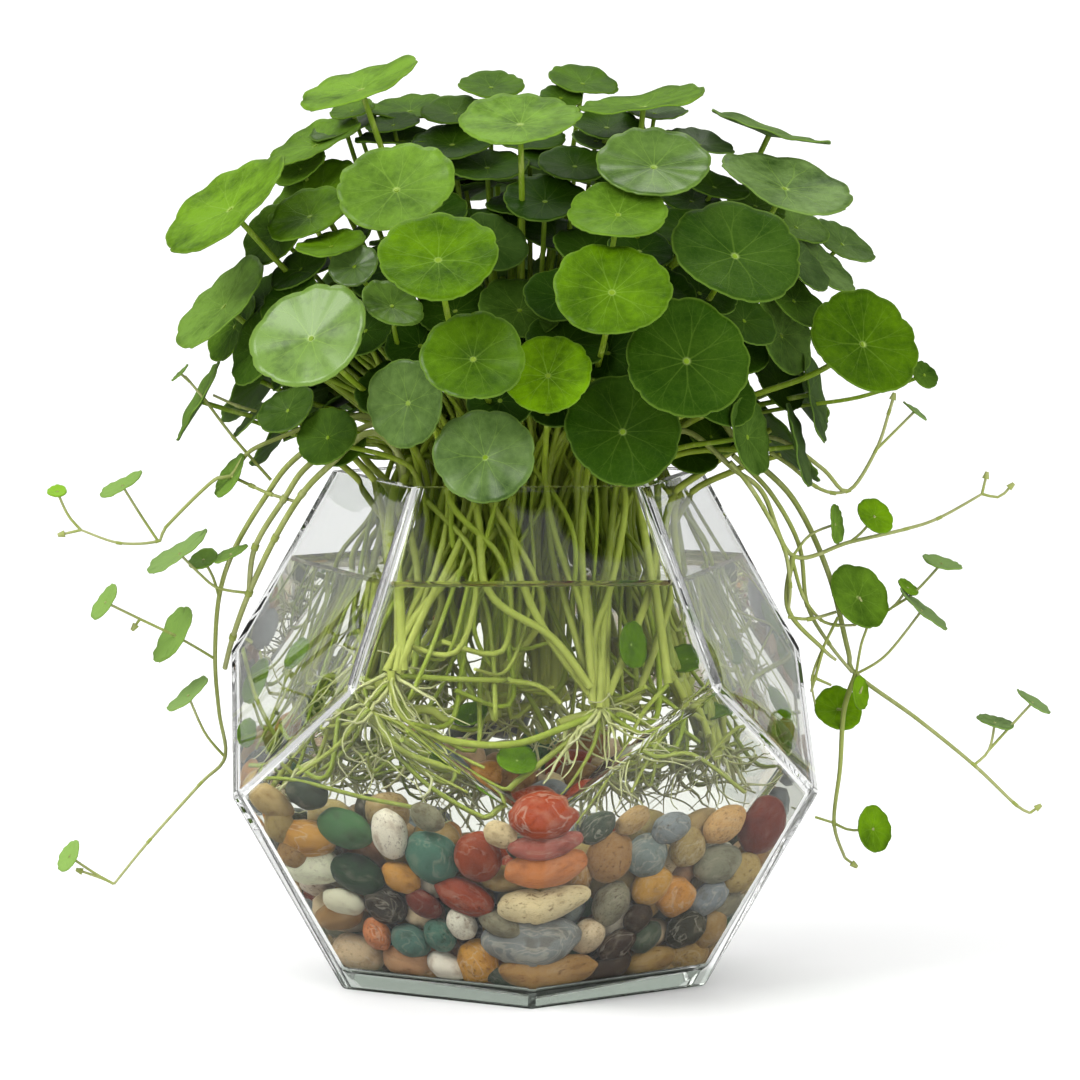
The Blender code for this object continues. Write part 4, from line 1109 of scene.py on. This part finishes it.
# Stems and stout roots with no leaf, seen in the water: places, and thickness at each end
waterStems = (
    (((520, 455, -16), (511, 510, -32), (519, 577, -42), (544, 631, -48), (598, 706, -52)), 1.15, 1.35),
    (((410, 460, -16), (396, 520, -30), (399, 589, -42), (403, 672, -50)), 1.3, 1.6),
    (((628, 455, -14), (640, 510, -30), (656, 597, -38), (668, 685, -46)), 1.1, 1.4),
    (((462, 455, -18), (478, 520, -36), (490, 595, -46), (552, 639, -50), (590, 689, -53)), 1.1, 1.3),
    (((612, 455, -16), (625, 505, -30), (610, 589, -38), (594, 639, -44), (598, 705, -50)), 1.0, 1.2),
    (((470, 455, -14), (492, 505, -34), (532, 575, -38), (540, 622, -34), (505, 668, -30)), 1.0, 1.2),
    (((600, 714, -52), (565, 728, -54), (515, 745, -55), (457, 743, -55), (407, 726, -54), (393, 697, -53),
      (391, 672, -52)), 1.1, 1.2),
    (((395, 677, -50), (449, 680, -46), (532, 685, -42), (561, 705, -44)), 0.9, 0.8),
    (((395, 747, -50), (432, 784, -52), (486, 815, -54), (515, 784, -54), (573, 739, -53),
      (598, 718, -52)), 0.9, 1.0),
    (((255, 768, -34), (299, 778, -42), (366, 795, -50), (407, 803, -54), (432, 809, -56)), 0.7, 0.8),
    (((393, 680, -50), (372, 700, -48), (338, 745, -44), (300, 772, -40)), 0.9, 0.6),
    (((605, 712, -52), (640, 735, -50), (690, 752, -46), (742, 790, -42)), 0.9, 0.6),
    (((668, 685, -46), (655, 740, -48), (628, 790, -52)), 0.8, 0.5),
    (((600, 712, -52), (592, 750, -54), (560, 800, -56)), 0.7, 0.4),
    (((396, 690, -50), (420, 735, -52), (470, 790, -55)), 0.7, 0.5),
    (((240, 640, -6), (262, 700, -8), (285, 745, -12)), 0.9, 0.8),
    (((800, 600, -4), (782, 660, -8), (742, 720, -14), (700, 760, -20)), 0.9, 0.7),
    (((318, 415, -8), (352, 455, -14), (384, 500, -22), (397, 585, -34), (398, 668, -48)), 0.9, 1.3),
    (((300, 438, 0), (338, 462, -6), (374, 500, -12), (386, 590, -22), (380, 690, -34)), 0.9, 1.2),
    (((340, 425, -4), (368, 462, -12), (402, 505, -20), (420, 590, -32), (404, 664, -46)), 1.0, 1.3),
    (((770, 430, 0), (716, 462, -8), (682, 500, -16), (672, 590, -28), (640, 690, -40)), 0.9, 1.2),
    (((745, 440, -4), (705, 470, -12), (668, 505, -22), (650, 590, -34), (608, 696, -48)), 1.0, 1.3),
    (((780, 455, 6), (735, 470, 0), (696, 498, -6), (690, 590, -14), (684, 700, -26)), 0.9, 1.2),
    (((420, 425, 0), (408, 468, 0), (386, 515, 3), (358, 562, 4), (330, 612, 0), (300, 680, -4),
      (262, 752, -8)), 1.0, 0.9),
    (((432, 425, -4), (418, 470, -4), (398, 515, -2), (372, 560, 0), (345, 622, -4), (312, 690, -8),
      (272, 756, -12)), 1.1, 0.9),
    (((416, 425, 8), (402, 468, 8), (376, 520, 9), (342, 568, 8), (314, 622, 6), (300, 662, 2),
      (268, 745, -4)), 0.8, 0.7),
    (((655, 425, 4), (664, 470, 4), (684, 520, 6), (702, 558, 6), (709, 584, 2), (720, 608, -2),
      (747, 621, -6), (766, 630, -8), (784, 660, -8)), 0.6, 0.5),
    (((650, 425, 12), (666, 470, 12), (694, 520, 12), (726, 560, 10), (748, 586, 6), (768, 606, 2),
      (786, 630, 0)), 0.55, 0.5),
    (((766, 630, -8), (752, 660, -8), (746, 690, -10)), 0.5, 0.4),
    (((648, 425, -4), (660, 470, -4), (682, 525, -3), (700, 570, -4), (716, 604, -8), (742, 640, -10),
      (775, 690, -10), (790, 730, -12)), 0.6, 0.5))
tangle = {"count": 84, "seed": 61, "neck": 33, "top": 168, "reach": 64, "low": (68, 102), "thick": (0.6, 1.15),
          "wander": 6, "creep": 18, "room": 2.2, "below": 148}

# Leaves under water: place seen, width (mm), openness, turn and lightness
waterLeaves = (
    ((517, 761, -54), 12, 0.6, 10, 0.75), ((632, 646, -45), 14, 0.55, 86, 0.6),
    ((258, 682, -8), 15, 0.55, -75, 0.8), ((300, 655, -20), 12, 0.5, -30, 0.65),
    ((250, 735, -12), 13, 0.6, 20, 0.6), ((770, 615, -6), 13, 0.4, 40, 0.55),
    ((800, 655, -4), 15, 0.55, 70, 0.65), ((728, 655, -10), 12, 0.6, -10, 0.6),
    ((775, 705, -10), 13, 0.45, 30, 0.6), ((470, 715, -34), 11, 0.5, -20, 0.65))


def strayed(chance, spread):
    return Vector([chance.gauss(0, spread) for _ in range(3)])


def rootPath(chance, start, length, fall):
    # wanders down and out, and turns along the pebbles when it meets them
    heading = Vector((chance.gauss(0, 1), chance.gauss(0, 1), -fall)).normalized()
    points = [start.copy()]
    for _ in range(root["steps"]):
        heading = (heading + strayed(chance, root["wander"])).normalized()
        step = points[-1] + heading * length / root["steps"]
        if step.z < root["floor"]:
            step.z = root["floor"] + chance.uniform(0, 1.5)
        points.append(clampInside(step, root["room"]))
    return points


def stalkFoot(chance, name, place):
    # stalks rise in a bunch from each node of their creeping stem
    if name in nodeSeen:
        foot = seenInWater(*nodeSeen[name])
    else:
        low, high = plantEnds(name)
        foot = low.lerp(high, rhizome["nodes"][place % 2] + chance.gauss(0, rhizome["spread"]))
    return foot + strayed(chance, rhizome["bunch"])


def makePlants():
    chance = random.Random(root["seed"])
    rootPaths = []
    for name, leaves in grown.items():
        low, high = plantEnds(name)
        creeping = []
        for i in range(rhizome["points"] + 1):
            t = i / rhizome["points"]
            wander = strayed(chance, rhizome["wander"]) * (1 - abs(2 * t - 1))
            creeping.append(low.lerp(high, t) + wander)
        paths = [(creeping, (rhizome["thick"], rhizome["thick"] * 0.7), (0.0, 0.1))]
        for i, (row, neck) in enumerate(leaves):
            foot = stalkFoot(chance, name, i)
            path = stalkPath(foot, row, neck, strayed(chance, rhizome["fan"]))
            thin = min(1.0, 0.55 + row["width"] / 80)
            paths.append((path, (stalk["foot"] * thin, stalk["top"] * thin), (0.0, 1.0)))
        tubePiece("stems_" + name + "_grown", paths, stalkMaterial, 8, 3.0, "stems", "stems_" + name)
        for i in range(root["nodes"]):
            at = low.lerp(high, (i + 0.5) / root["nodes"])
            if name in nodeSeen and i % 2:
                at = seenInWater(*nodeSeen[name])
            for _ in range(root["perNode"]):
                path = rootPath(chance, at, chance.uniform(*root["length"]), chance.uniform(0.2, 1.6))
                times = root["stout"] if chance.random() < root["stoutShare"] else 1
                rootPaths.append((path, (root["thick"] * times, root["thin"] * times), (0.0, 1.0)))
    tubePiece("roots_fine", rootPaths, rootMaterial, 5, 3.0, "stems")


def makeWaterStems():
    paths = []
    for places, thickTop, thickLow in waterStems:
        points = [(seenInWater if place[1] > waterLine else seenAt)(*place) for place in places]
        points = [clampInside(point, stemRoom) if point.z < vase["height"] else point for point in points]
        paths.append((points, (thickTop, thickLow), (0.4, 0.1)))
    # behind these, a tangle of stems that come down through the mouth and creep on to one side
    chance = random.Random(tangle["seed"])
    for _ in range(tangle["count"]):
        turn = chance.uniform(0, 2 * math.pi)
        ends = []
        for reach, height in ((tangle["neck"] * math.sqrt(chance.random()), tangle["top"]),
                              (tangle["reach"] * chance.uniform(0.35, 1), chance.uniform(*tangle["low"]))):
            ends.append(Vector((math.cos(turn) * reach, math.sin(turn) * reach, height)))
            turn += chance.gauss(0, 0.5)
        aside = Vector((chance.gauss(0, 1), chance.gauss(0, 1), 0.2)).normalized() * tangle["creep"]
        strand = [ends[0], ends[0].lerp(ends[1], 0.3), ends[0].lerp(ends[1], 0.7), ends[1], ends[1] + aside]
        strand = [point + strayed(chance, tangle["wander"]) * (0 < i < 3) for i, point in enumerate(strand)]
        strand = [clampInside(p, tangle["room"]) if p.z < tangle["below"] else p for p in strand]
        thick = chance.uniform(*tangle["thick"])
        paths.append((strand, (thick, thick * 0.8), (0.6, chance.uniform(0, 0.4))))
    tubePiece("stems_in_water", paths, stalkMaterial, 7, 3.0, "stems")
    rows = [leafRow(clampInside(seenInWater(*seen), width * 0.35), facing(openness, turn), width,
                    (light, 1.0, 0.05), 500 + i)
            for i, (seen, width, openness, turn, light) in enumerate(waterLeaves)]
    leafPiece("leaves_in_water", rows, 6, 48)


makeWaterStems()
makePlants()
print("plants grown")


# Runners: thin stems over the rim, with small leaves and buds. Each stem runs through places inside (mm)
# and places seen outside; each branch runs through places seen to a leaf (width, openness, turn, look) or a bud

# a leaf look's lightness above 1 makes the leaf paler than the palette: partly its own pale tone, partly a
# painted sheen
runners = {
    "runner_left_long": {
        "stems": (
            (((-50, 5, 88), (-38, -6, 140), (-37, -8, 157), (-47, -10, 168)),
             ((296, 458, -12), (264, 499, -10), (234, 550, -6), (219, 597, -2), (215, 659, 2), (219, 712, 2),
              (225, 757, 2), (200, 784, -2), (149, 841, -12), (114, 884, -18)), 1.1, 0.38),),
        "branches": (
            (((114, 884, -18), (96, 874, -18), (69, 856, -18)), (10, 0.50, -60, (1.65, 0.25, 0.1))),
            (((114, 884, -18), (104, 879, -18), (81, 871, -18)), None),
            (((225, 757, 2), (205, 733, 0), (188, 695, -3)), (15, 0.27, -40, (1.50, 0.12, 0.1))),
            (((215, 659, 2), (197, 648, 0), (174, 635, -2)), (19, 0.40, -60, (1.25, 0.35, 0.1))),
            (((174, 635, -2), (140, 619, -4), (105, 602, -6)), (12, 0.40, -58, (1.45, 0.28, 0.1))),
            (((140, 619, -4), (135, 626, -4)), None),
            (((219, 597, -2), (213, 577, -2), (203, 559, -2)), (9, 0.60, -20, (1.20, 0.50, 0.1))),
            (((219, 597, -2), (225, 576, -8), (231, 554, -13)), (11, 0.25, -25, (1.10, 0.40, 0.1))))},
    "runner_left_pair": {
        "stems": (
            (((-42, -16, 86), (-36, -17, 140), (-36, -19, 156), (-45, -21, 164)),
             ((330, 465, -24), (302, 494, -20), (275, 538, -15), (249, 593, -8), (233, 637, 0), (225, 668, 8)),
             1.1, 0.8),
            (((-36, -17, 140), (-36, -13, 154), (-43, -14, 166)),
             ((311, 463, -18), (284, 499, -15), (255, 547, -11), (249, 593, -8)), 1.0, 0.8)),
        "branches": (
            (((249, 593, -8), (218, 588, -9), (200, 574, -9), (179, 553, -9)),
             (21, 0.24, -35, (1.45, 0.12, 0.1))),)},
    "runner_left_top": {
        "stems": (
            (((-38, 14, 90), (-34, 9, 145), (-41, 8, 166)),
             ((318, 424, 0), (284, 436, -2), (249, 452, -4), (231, 476, -4), (213, 481, -4), (167, 526, 0),
              (158, 541, 0), (119, 543, 0), (81, 530, 0)), 0.9, 0.36),
            ((), ((231, 476, -4), (252, 486, -8), (270, 494, -12), (297, 502, -16)), 0.5, 0.5),
            ((), ((271, 480, -2), (234, 438, -2), (205, 400, -2), (185, 376, -2)), 0.5, 0.4),
            ((), ((262, 413, 2), (238, 406, 0), (213, 395, 0)), 0.5, 0.4)),
        "branches": (
            (((249, 452, -4), (231, 476, -4)), (15, 0.36, -58, (1.05, 0.55, 0.1))),
            (((158, 541, 0), (140, 514, 0), (122, 485, 0)), (14, 0.28, -30, (1.45, 0.28, 0.1))),
            (((81, 530, 0), (68, 515, 0), (57, 491, 0)), (6, 0.55, 0, (1.50, 0.80, 0.1))),
            (((81, 530, 0), (63, 534, 0)), None),
            (((190, 382, -2), (180, 373, -2)), (7, 0.15, -45, (1.00, 0.30, 0.1))))},
    "runner_right_top": {
        "stems": (
            (((42, 10, 90), (39, 7, 145), (43, 7, 166), (52, 5, 174)),
             ((740, 430, -4), (783, 441, -6), (823, 469, -6), (848, 491, -6), (876, 450, -6), (889, 412, -6),
              (893, 400, -6)), 1.0, 0.40),
            ((), ((770, 452, -10), (791, 466, -8), (815, 486, -7), (833, 493, -6), (848, 491, -6)), 0.7, 0.45)),
        "branches": (
            (((889, 412, -6), (893, 398, -6)), None),
            (((876, 450, -6), (893, 433, -6), (915, 411, -6)), (9, 0.14, 38, (1.10, 0.05, 0.1))))},
    "runner_right_side": {
        "stems": (
            (((42, -19, 90), (37, -18, 142), (38, -20, 158), (47, -22, 164)),
             ((735, 470, -24), (763, 493, -20), (793, 556, -12), (850, 542, -8), (906, 529, -4), (939, 518, -4),
              (982, 494, -4)), 1.1, 0.40),
            ((), ((793, 556, -12), (788, 609, -13), (823, 649, -10), (836, 660, -9)), 0.9, 0.45),
            ((), ((793, 562, -12), (803, 596, -11), (820, 619, -10), (836, 625, -8), (856, 625, -6)),
             0.6, 0.40),
            ((), ((788, 617, -13), (810, 619, -12), (836, 612, -10)), 0.5, 0.5),
            ((), ((823, 649, -10), (815, 678, -8), (811, 692, -8)), 0.5, 0.4),
            ((), ((815, 678, -8), (831, 685, -6)), 0.5, 0.4),
            ((), ((730, 462, -28), (744, 478, -26), (763, 507, -22), (784, 548, -17), (790, 585, -15),
                  (788, 611, -13)), 0.8, 0.5),
            ((), ((733, 455, -18), (770, 492, -13), (799, 545, -7), (807, 604, -6), (828, 642, -4),
                  (852, 672, 0)), 0.8, 0.5),
            ((), ((838, 617, -9), (823, 648, -9), (812, 678, -8), (815, 704, -7)), 0.5, 0.3)),
        "branches": (
            (((982, 494, -4), (986, 477, -4)), None),
            (((982, 494, -4), (999, 497, -4), (1010, 487, -4)), None),
            (((850, 542, -8), (862, 532, -9), (875, 516, -10)), (12, 0.72, 42, (0.72, 1.00, 0.1))),
            (((793, 556, -12), (810, 535, -12), (836, 524, -12)), (12, 0.34, 86, (0.68, 0.70, 0.1))))},
    "runner_right_long": {
        "stems": (
            (((50, -4, 92), (43, -4, 138), (41, -4, 152), (46, -6, 163), (56, -8, 168)),
             ((745, 452, -8), (793, 499, 0), (828, 572, 0), (848, 650, 0), (856, 674, 0), (916, 718, -8),
              (974, 765, -14), (1015, 804, -18), (1030, 813, -18)), 1.3, 0.42),
            ((), ((856, 674, 0), (844, 710, 0), (840, 768, 0), (834, 823, 0), (845, 858, 0)), 0.9, 0.45),
            ((), ((815, 817, 0), (834, 823, 0)), 0.4, 0.4)),
        "branches": (
            (((856, 674, 0), (861, 645, -4), (868, 620, -8), (859, 597, -10)),
             (21, 0.72, 48, (0.50, 0.80, 0.1))),
            (((856, 674, 0), (886, 655, -3), (922, 610, -6)), (18, 0.16, 40, (1.10, 0.00, 0.1))),
            (((868, 620, -8), (893, 607, -4), (908, 587, -3)), (7, 0.45, 35, (0.90, 0.90, 0.1))),
            (((893, 607, -4), (915, 592, -2), (942, 563, -2)), (12, 0.28, 15, (1.20, 0.15, 0.1))),
            (((974, 765, -14), (989, 750, -14), (995, 722, -14)), (11, 0.28, 14, (1.00, 0.10, 0.1))),
            (((989, 750, -14), (1009, 728, -14), (1033, 702, -14)), (12, 0.20, 35, (1.15, 0.00, 0.1))),
            (((1030, 813, -18), (1037, 808, -18)), None),
            (((834, 823, 0), (850, 830, -2), (874, 829, -4)), (14, 0.72, 80, (0.64, 1.00, 0.1))),
            (((844, 710, 0), (838, 709, 5)), (15, 0.80, 20, (0.80, 1.00, 0.1))),
            (((856, 674, 0), (862, 684, -6), (860, 693, -9)), (10, 0.50, 85, (0.80, 1.00, 0.1))),
            (((845, 858, 0), (853, 864, 0)), None))}}
runnerLook = {"twig": 0.40, "budLength": 3.2, "budThick": 1.1, "nodeThick": 1.45}


def makeRunner(name, parts):
    tubes, leaves = [], []
    for inside, outside, thick, thin in parts["stems"]:
        points = [Vector(p) for p in inside] + [seenAt(*p) for p in outside]
        tubes.append((points, (thick, thin), (0.3, 0.9)))
        for before, place, after in zip(outside, outside[1:], outside[2:]):    # a little swollen at each node
            at, spread = seenAt(*place), (seenAt(*after) - seenAt(*before)).normalized() * 0.9
            tubes.append(([at - spread, at + spread], (thin * runnerLook["nodeThick"],) * 2, (0.3, 0.5)))
    for number, (points, bears) in enumerate(parts["branches"]):
        path = [seenAt(*p) for p in points]
        tubes.append((path, (runnerLook["twig"] * 1.1, runnerLook["twig"]), (0.5, 0.9)))
        if bears:
            width, openness, turn, look = bears
            leaves.append(leafRow(path[-1], facing(openness, turn), width, look, 400 + number + len(name)))
        else:
            heading = (path[-1] - path[-2]).normalized()
            tubes.append(([path[-1] - heading * 0.5, path[-1] + heading * runnerLook["budLength"] * 0.5],
                          (runnerLook["budThick"], runnerLook["budThick"] * 0.5), (0.6, 0.8)))
    tubePiece(name + "_stems", tubes, runnerMaterial, 7, 2.0, "runners", name)
    if leaves:
        leafPiece(name + "_leaves", leaves, 6, 44, name)


for name, parts in runners.items():
    makeRunner(name, parts)
print("runners grown")


# The studio: lengths in metres. Each lamp: place, size, power, and whether the glass mirrors it

studio = {"floor": (0.90, 0.90, 0.90), "mirroredFloor": (0.10, 0.10, 0.095),
          "world": 0.80, "mirroredLess": 0.45,
          "lamps": {"key": ((-1.2, -0.7, 1.5), (1.0, 1.0), 24, True),
                    "back": ((-0.1, 1.2, 1.7), (1.6, 0.8), 13, True),
                    "fill": ((1.0, -1.3, 0.9), (1.2, 1.2), 14, False)},
          "towards": (0, 0, 0.14)}
sweep = {"front": -1.6, "back": 1.3, "side": 2.6, "bend": 0.5, "steps": 14, "high": 2.4}


def makeFloor():
    # a pale floor that sweeps up behind, clear from its outer side
    bm = bmesh.new()
    profile = [(sweep["front"], 0.0)]
    for i in range(sweep["steps"] + 1):
        turn = math.pi / 2 * i / sweep["steps"]
        profile.append((sweep["back"] + sweep["bend"] * math.sin(turn), sweep["bend"] * (1 - math.cos(turn))))
    profile.append((sweep["back"] + sweep["bend"], sweep["high"]))
    rows = [[bm.verts.new((x, y, z)) for x in (-sweep["side"], sweep["side"])] for y, z in profile]
    for low, high in zip(rows, rows[1:]):
        bm.faces.new((low[0], low[1], high[1], high[0]))
    material, tree, shader = startMaterial("paleFloor", Roughness=0.9)
    colour = mixed(tree, onlyMirrored(tree), studio["floor"], studio["mirroredFloor"])
    feed(tree, shader.inputs["Base Color"], colour)
    clearWhere(tree, shader, node(tree, "ShaderNodeNewGeometry").outputs["Backfacing"])
    made = objectFrom(bm, "floor", material, 1.0)
    if made.data.polygons[0].normal.z < 0:
        made.data.flip_normals()
    for face in made.data.polygons:
        face.use_smooth = True


def addLamp(name, place, size, power, mirrored):
    lamp = bpy.data.lights.new(name, "AREA")
    lamp.shape = "RECTANGLE"
    lamp.size, lamp.size_y = size
    lamp.energy = power
    made = bpy.data.objects.new(name, lamp)
    made.visible_glossy = mirrored
    made.location = place
    made.rotation_mode = "QUATERNION"
    made.rotation_quaternion = (Vector(studio["towards"]) - Vector(place)).to_track_quat("-Z", "Y")
    bpy.context.scene.collection.objects.link(made)


def makeWorld():
    # white all round, but dimmer where it is only mirrored
    world = bpy.data.worlds.new("studio")
    world.use_nodes = True
    tree = world.node_tree
    back = tree.nodes["Background"]
    back.inputs["Color"].default_value = (1.0, 1.0, 1.0, 1)
    feed(tree, back.inputs["Strength"], studio["world"] - onlyMirrored(tree) * studio["mirroredLess"])
    bpy.context.scene.world = world


def makeCamera():
    lens = bpy.data.cameras.new("camera")
    lens.sensor_width = eye["sensor"]
    lens.lens = eye["focal"] * eye["sensor"] / eye["picture"]
    lens.clip_end = 20
    made = bpy.data.objects.new("camera", lens)
    turn = Matrix((eyeRight, eyeUp, -eyeAhead)).transposed().to_4x4()
    made.matrix_world = Matrix.Translation(eyePlace * mm) @ turn
    bpy.context.scene.collection.objects.link(made)
    bpy.context.scene.camera = made


makeFloor()
makeWorld()
for name, lamp in studio["lamps"].items():
    addLamp(name, *lamp)
makeCamera()
bpy.context.scene.view_settings.view_transform = "Standard"
for label, value in {"max_bounces": 40, "transmission_bounces": 32, "transparent_max_bounces": 8,
                     "glossy_bounces": 32, "diffuse_bounces": 2, "caustics_reflective": False,
                     "sample_clamp_indirect": 6, "use_denoising": True}.items():
    setattr(bpy.context.scene.cycles, label, value)
print("studio ready")
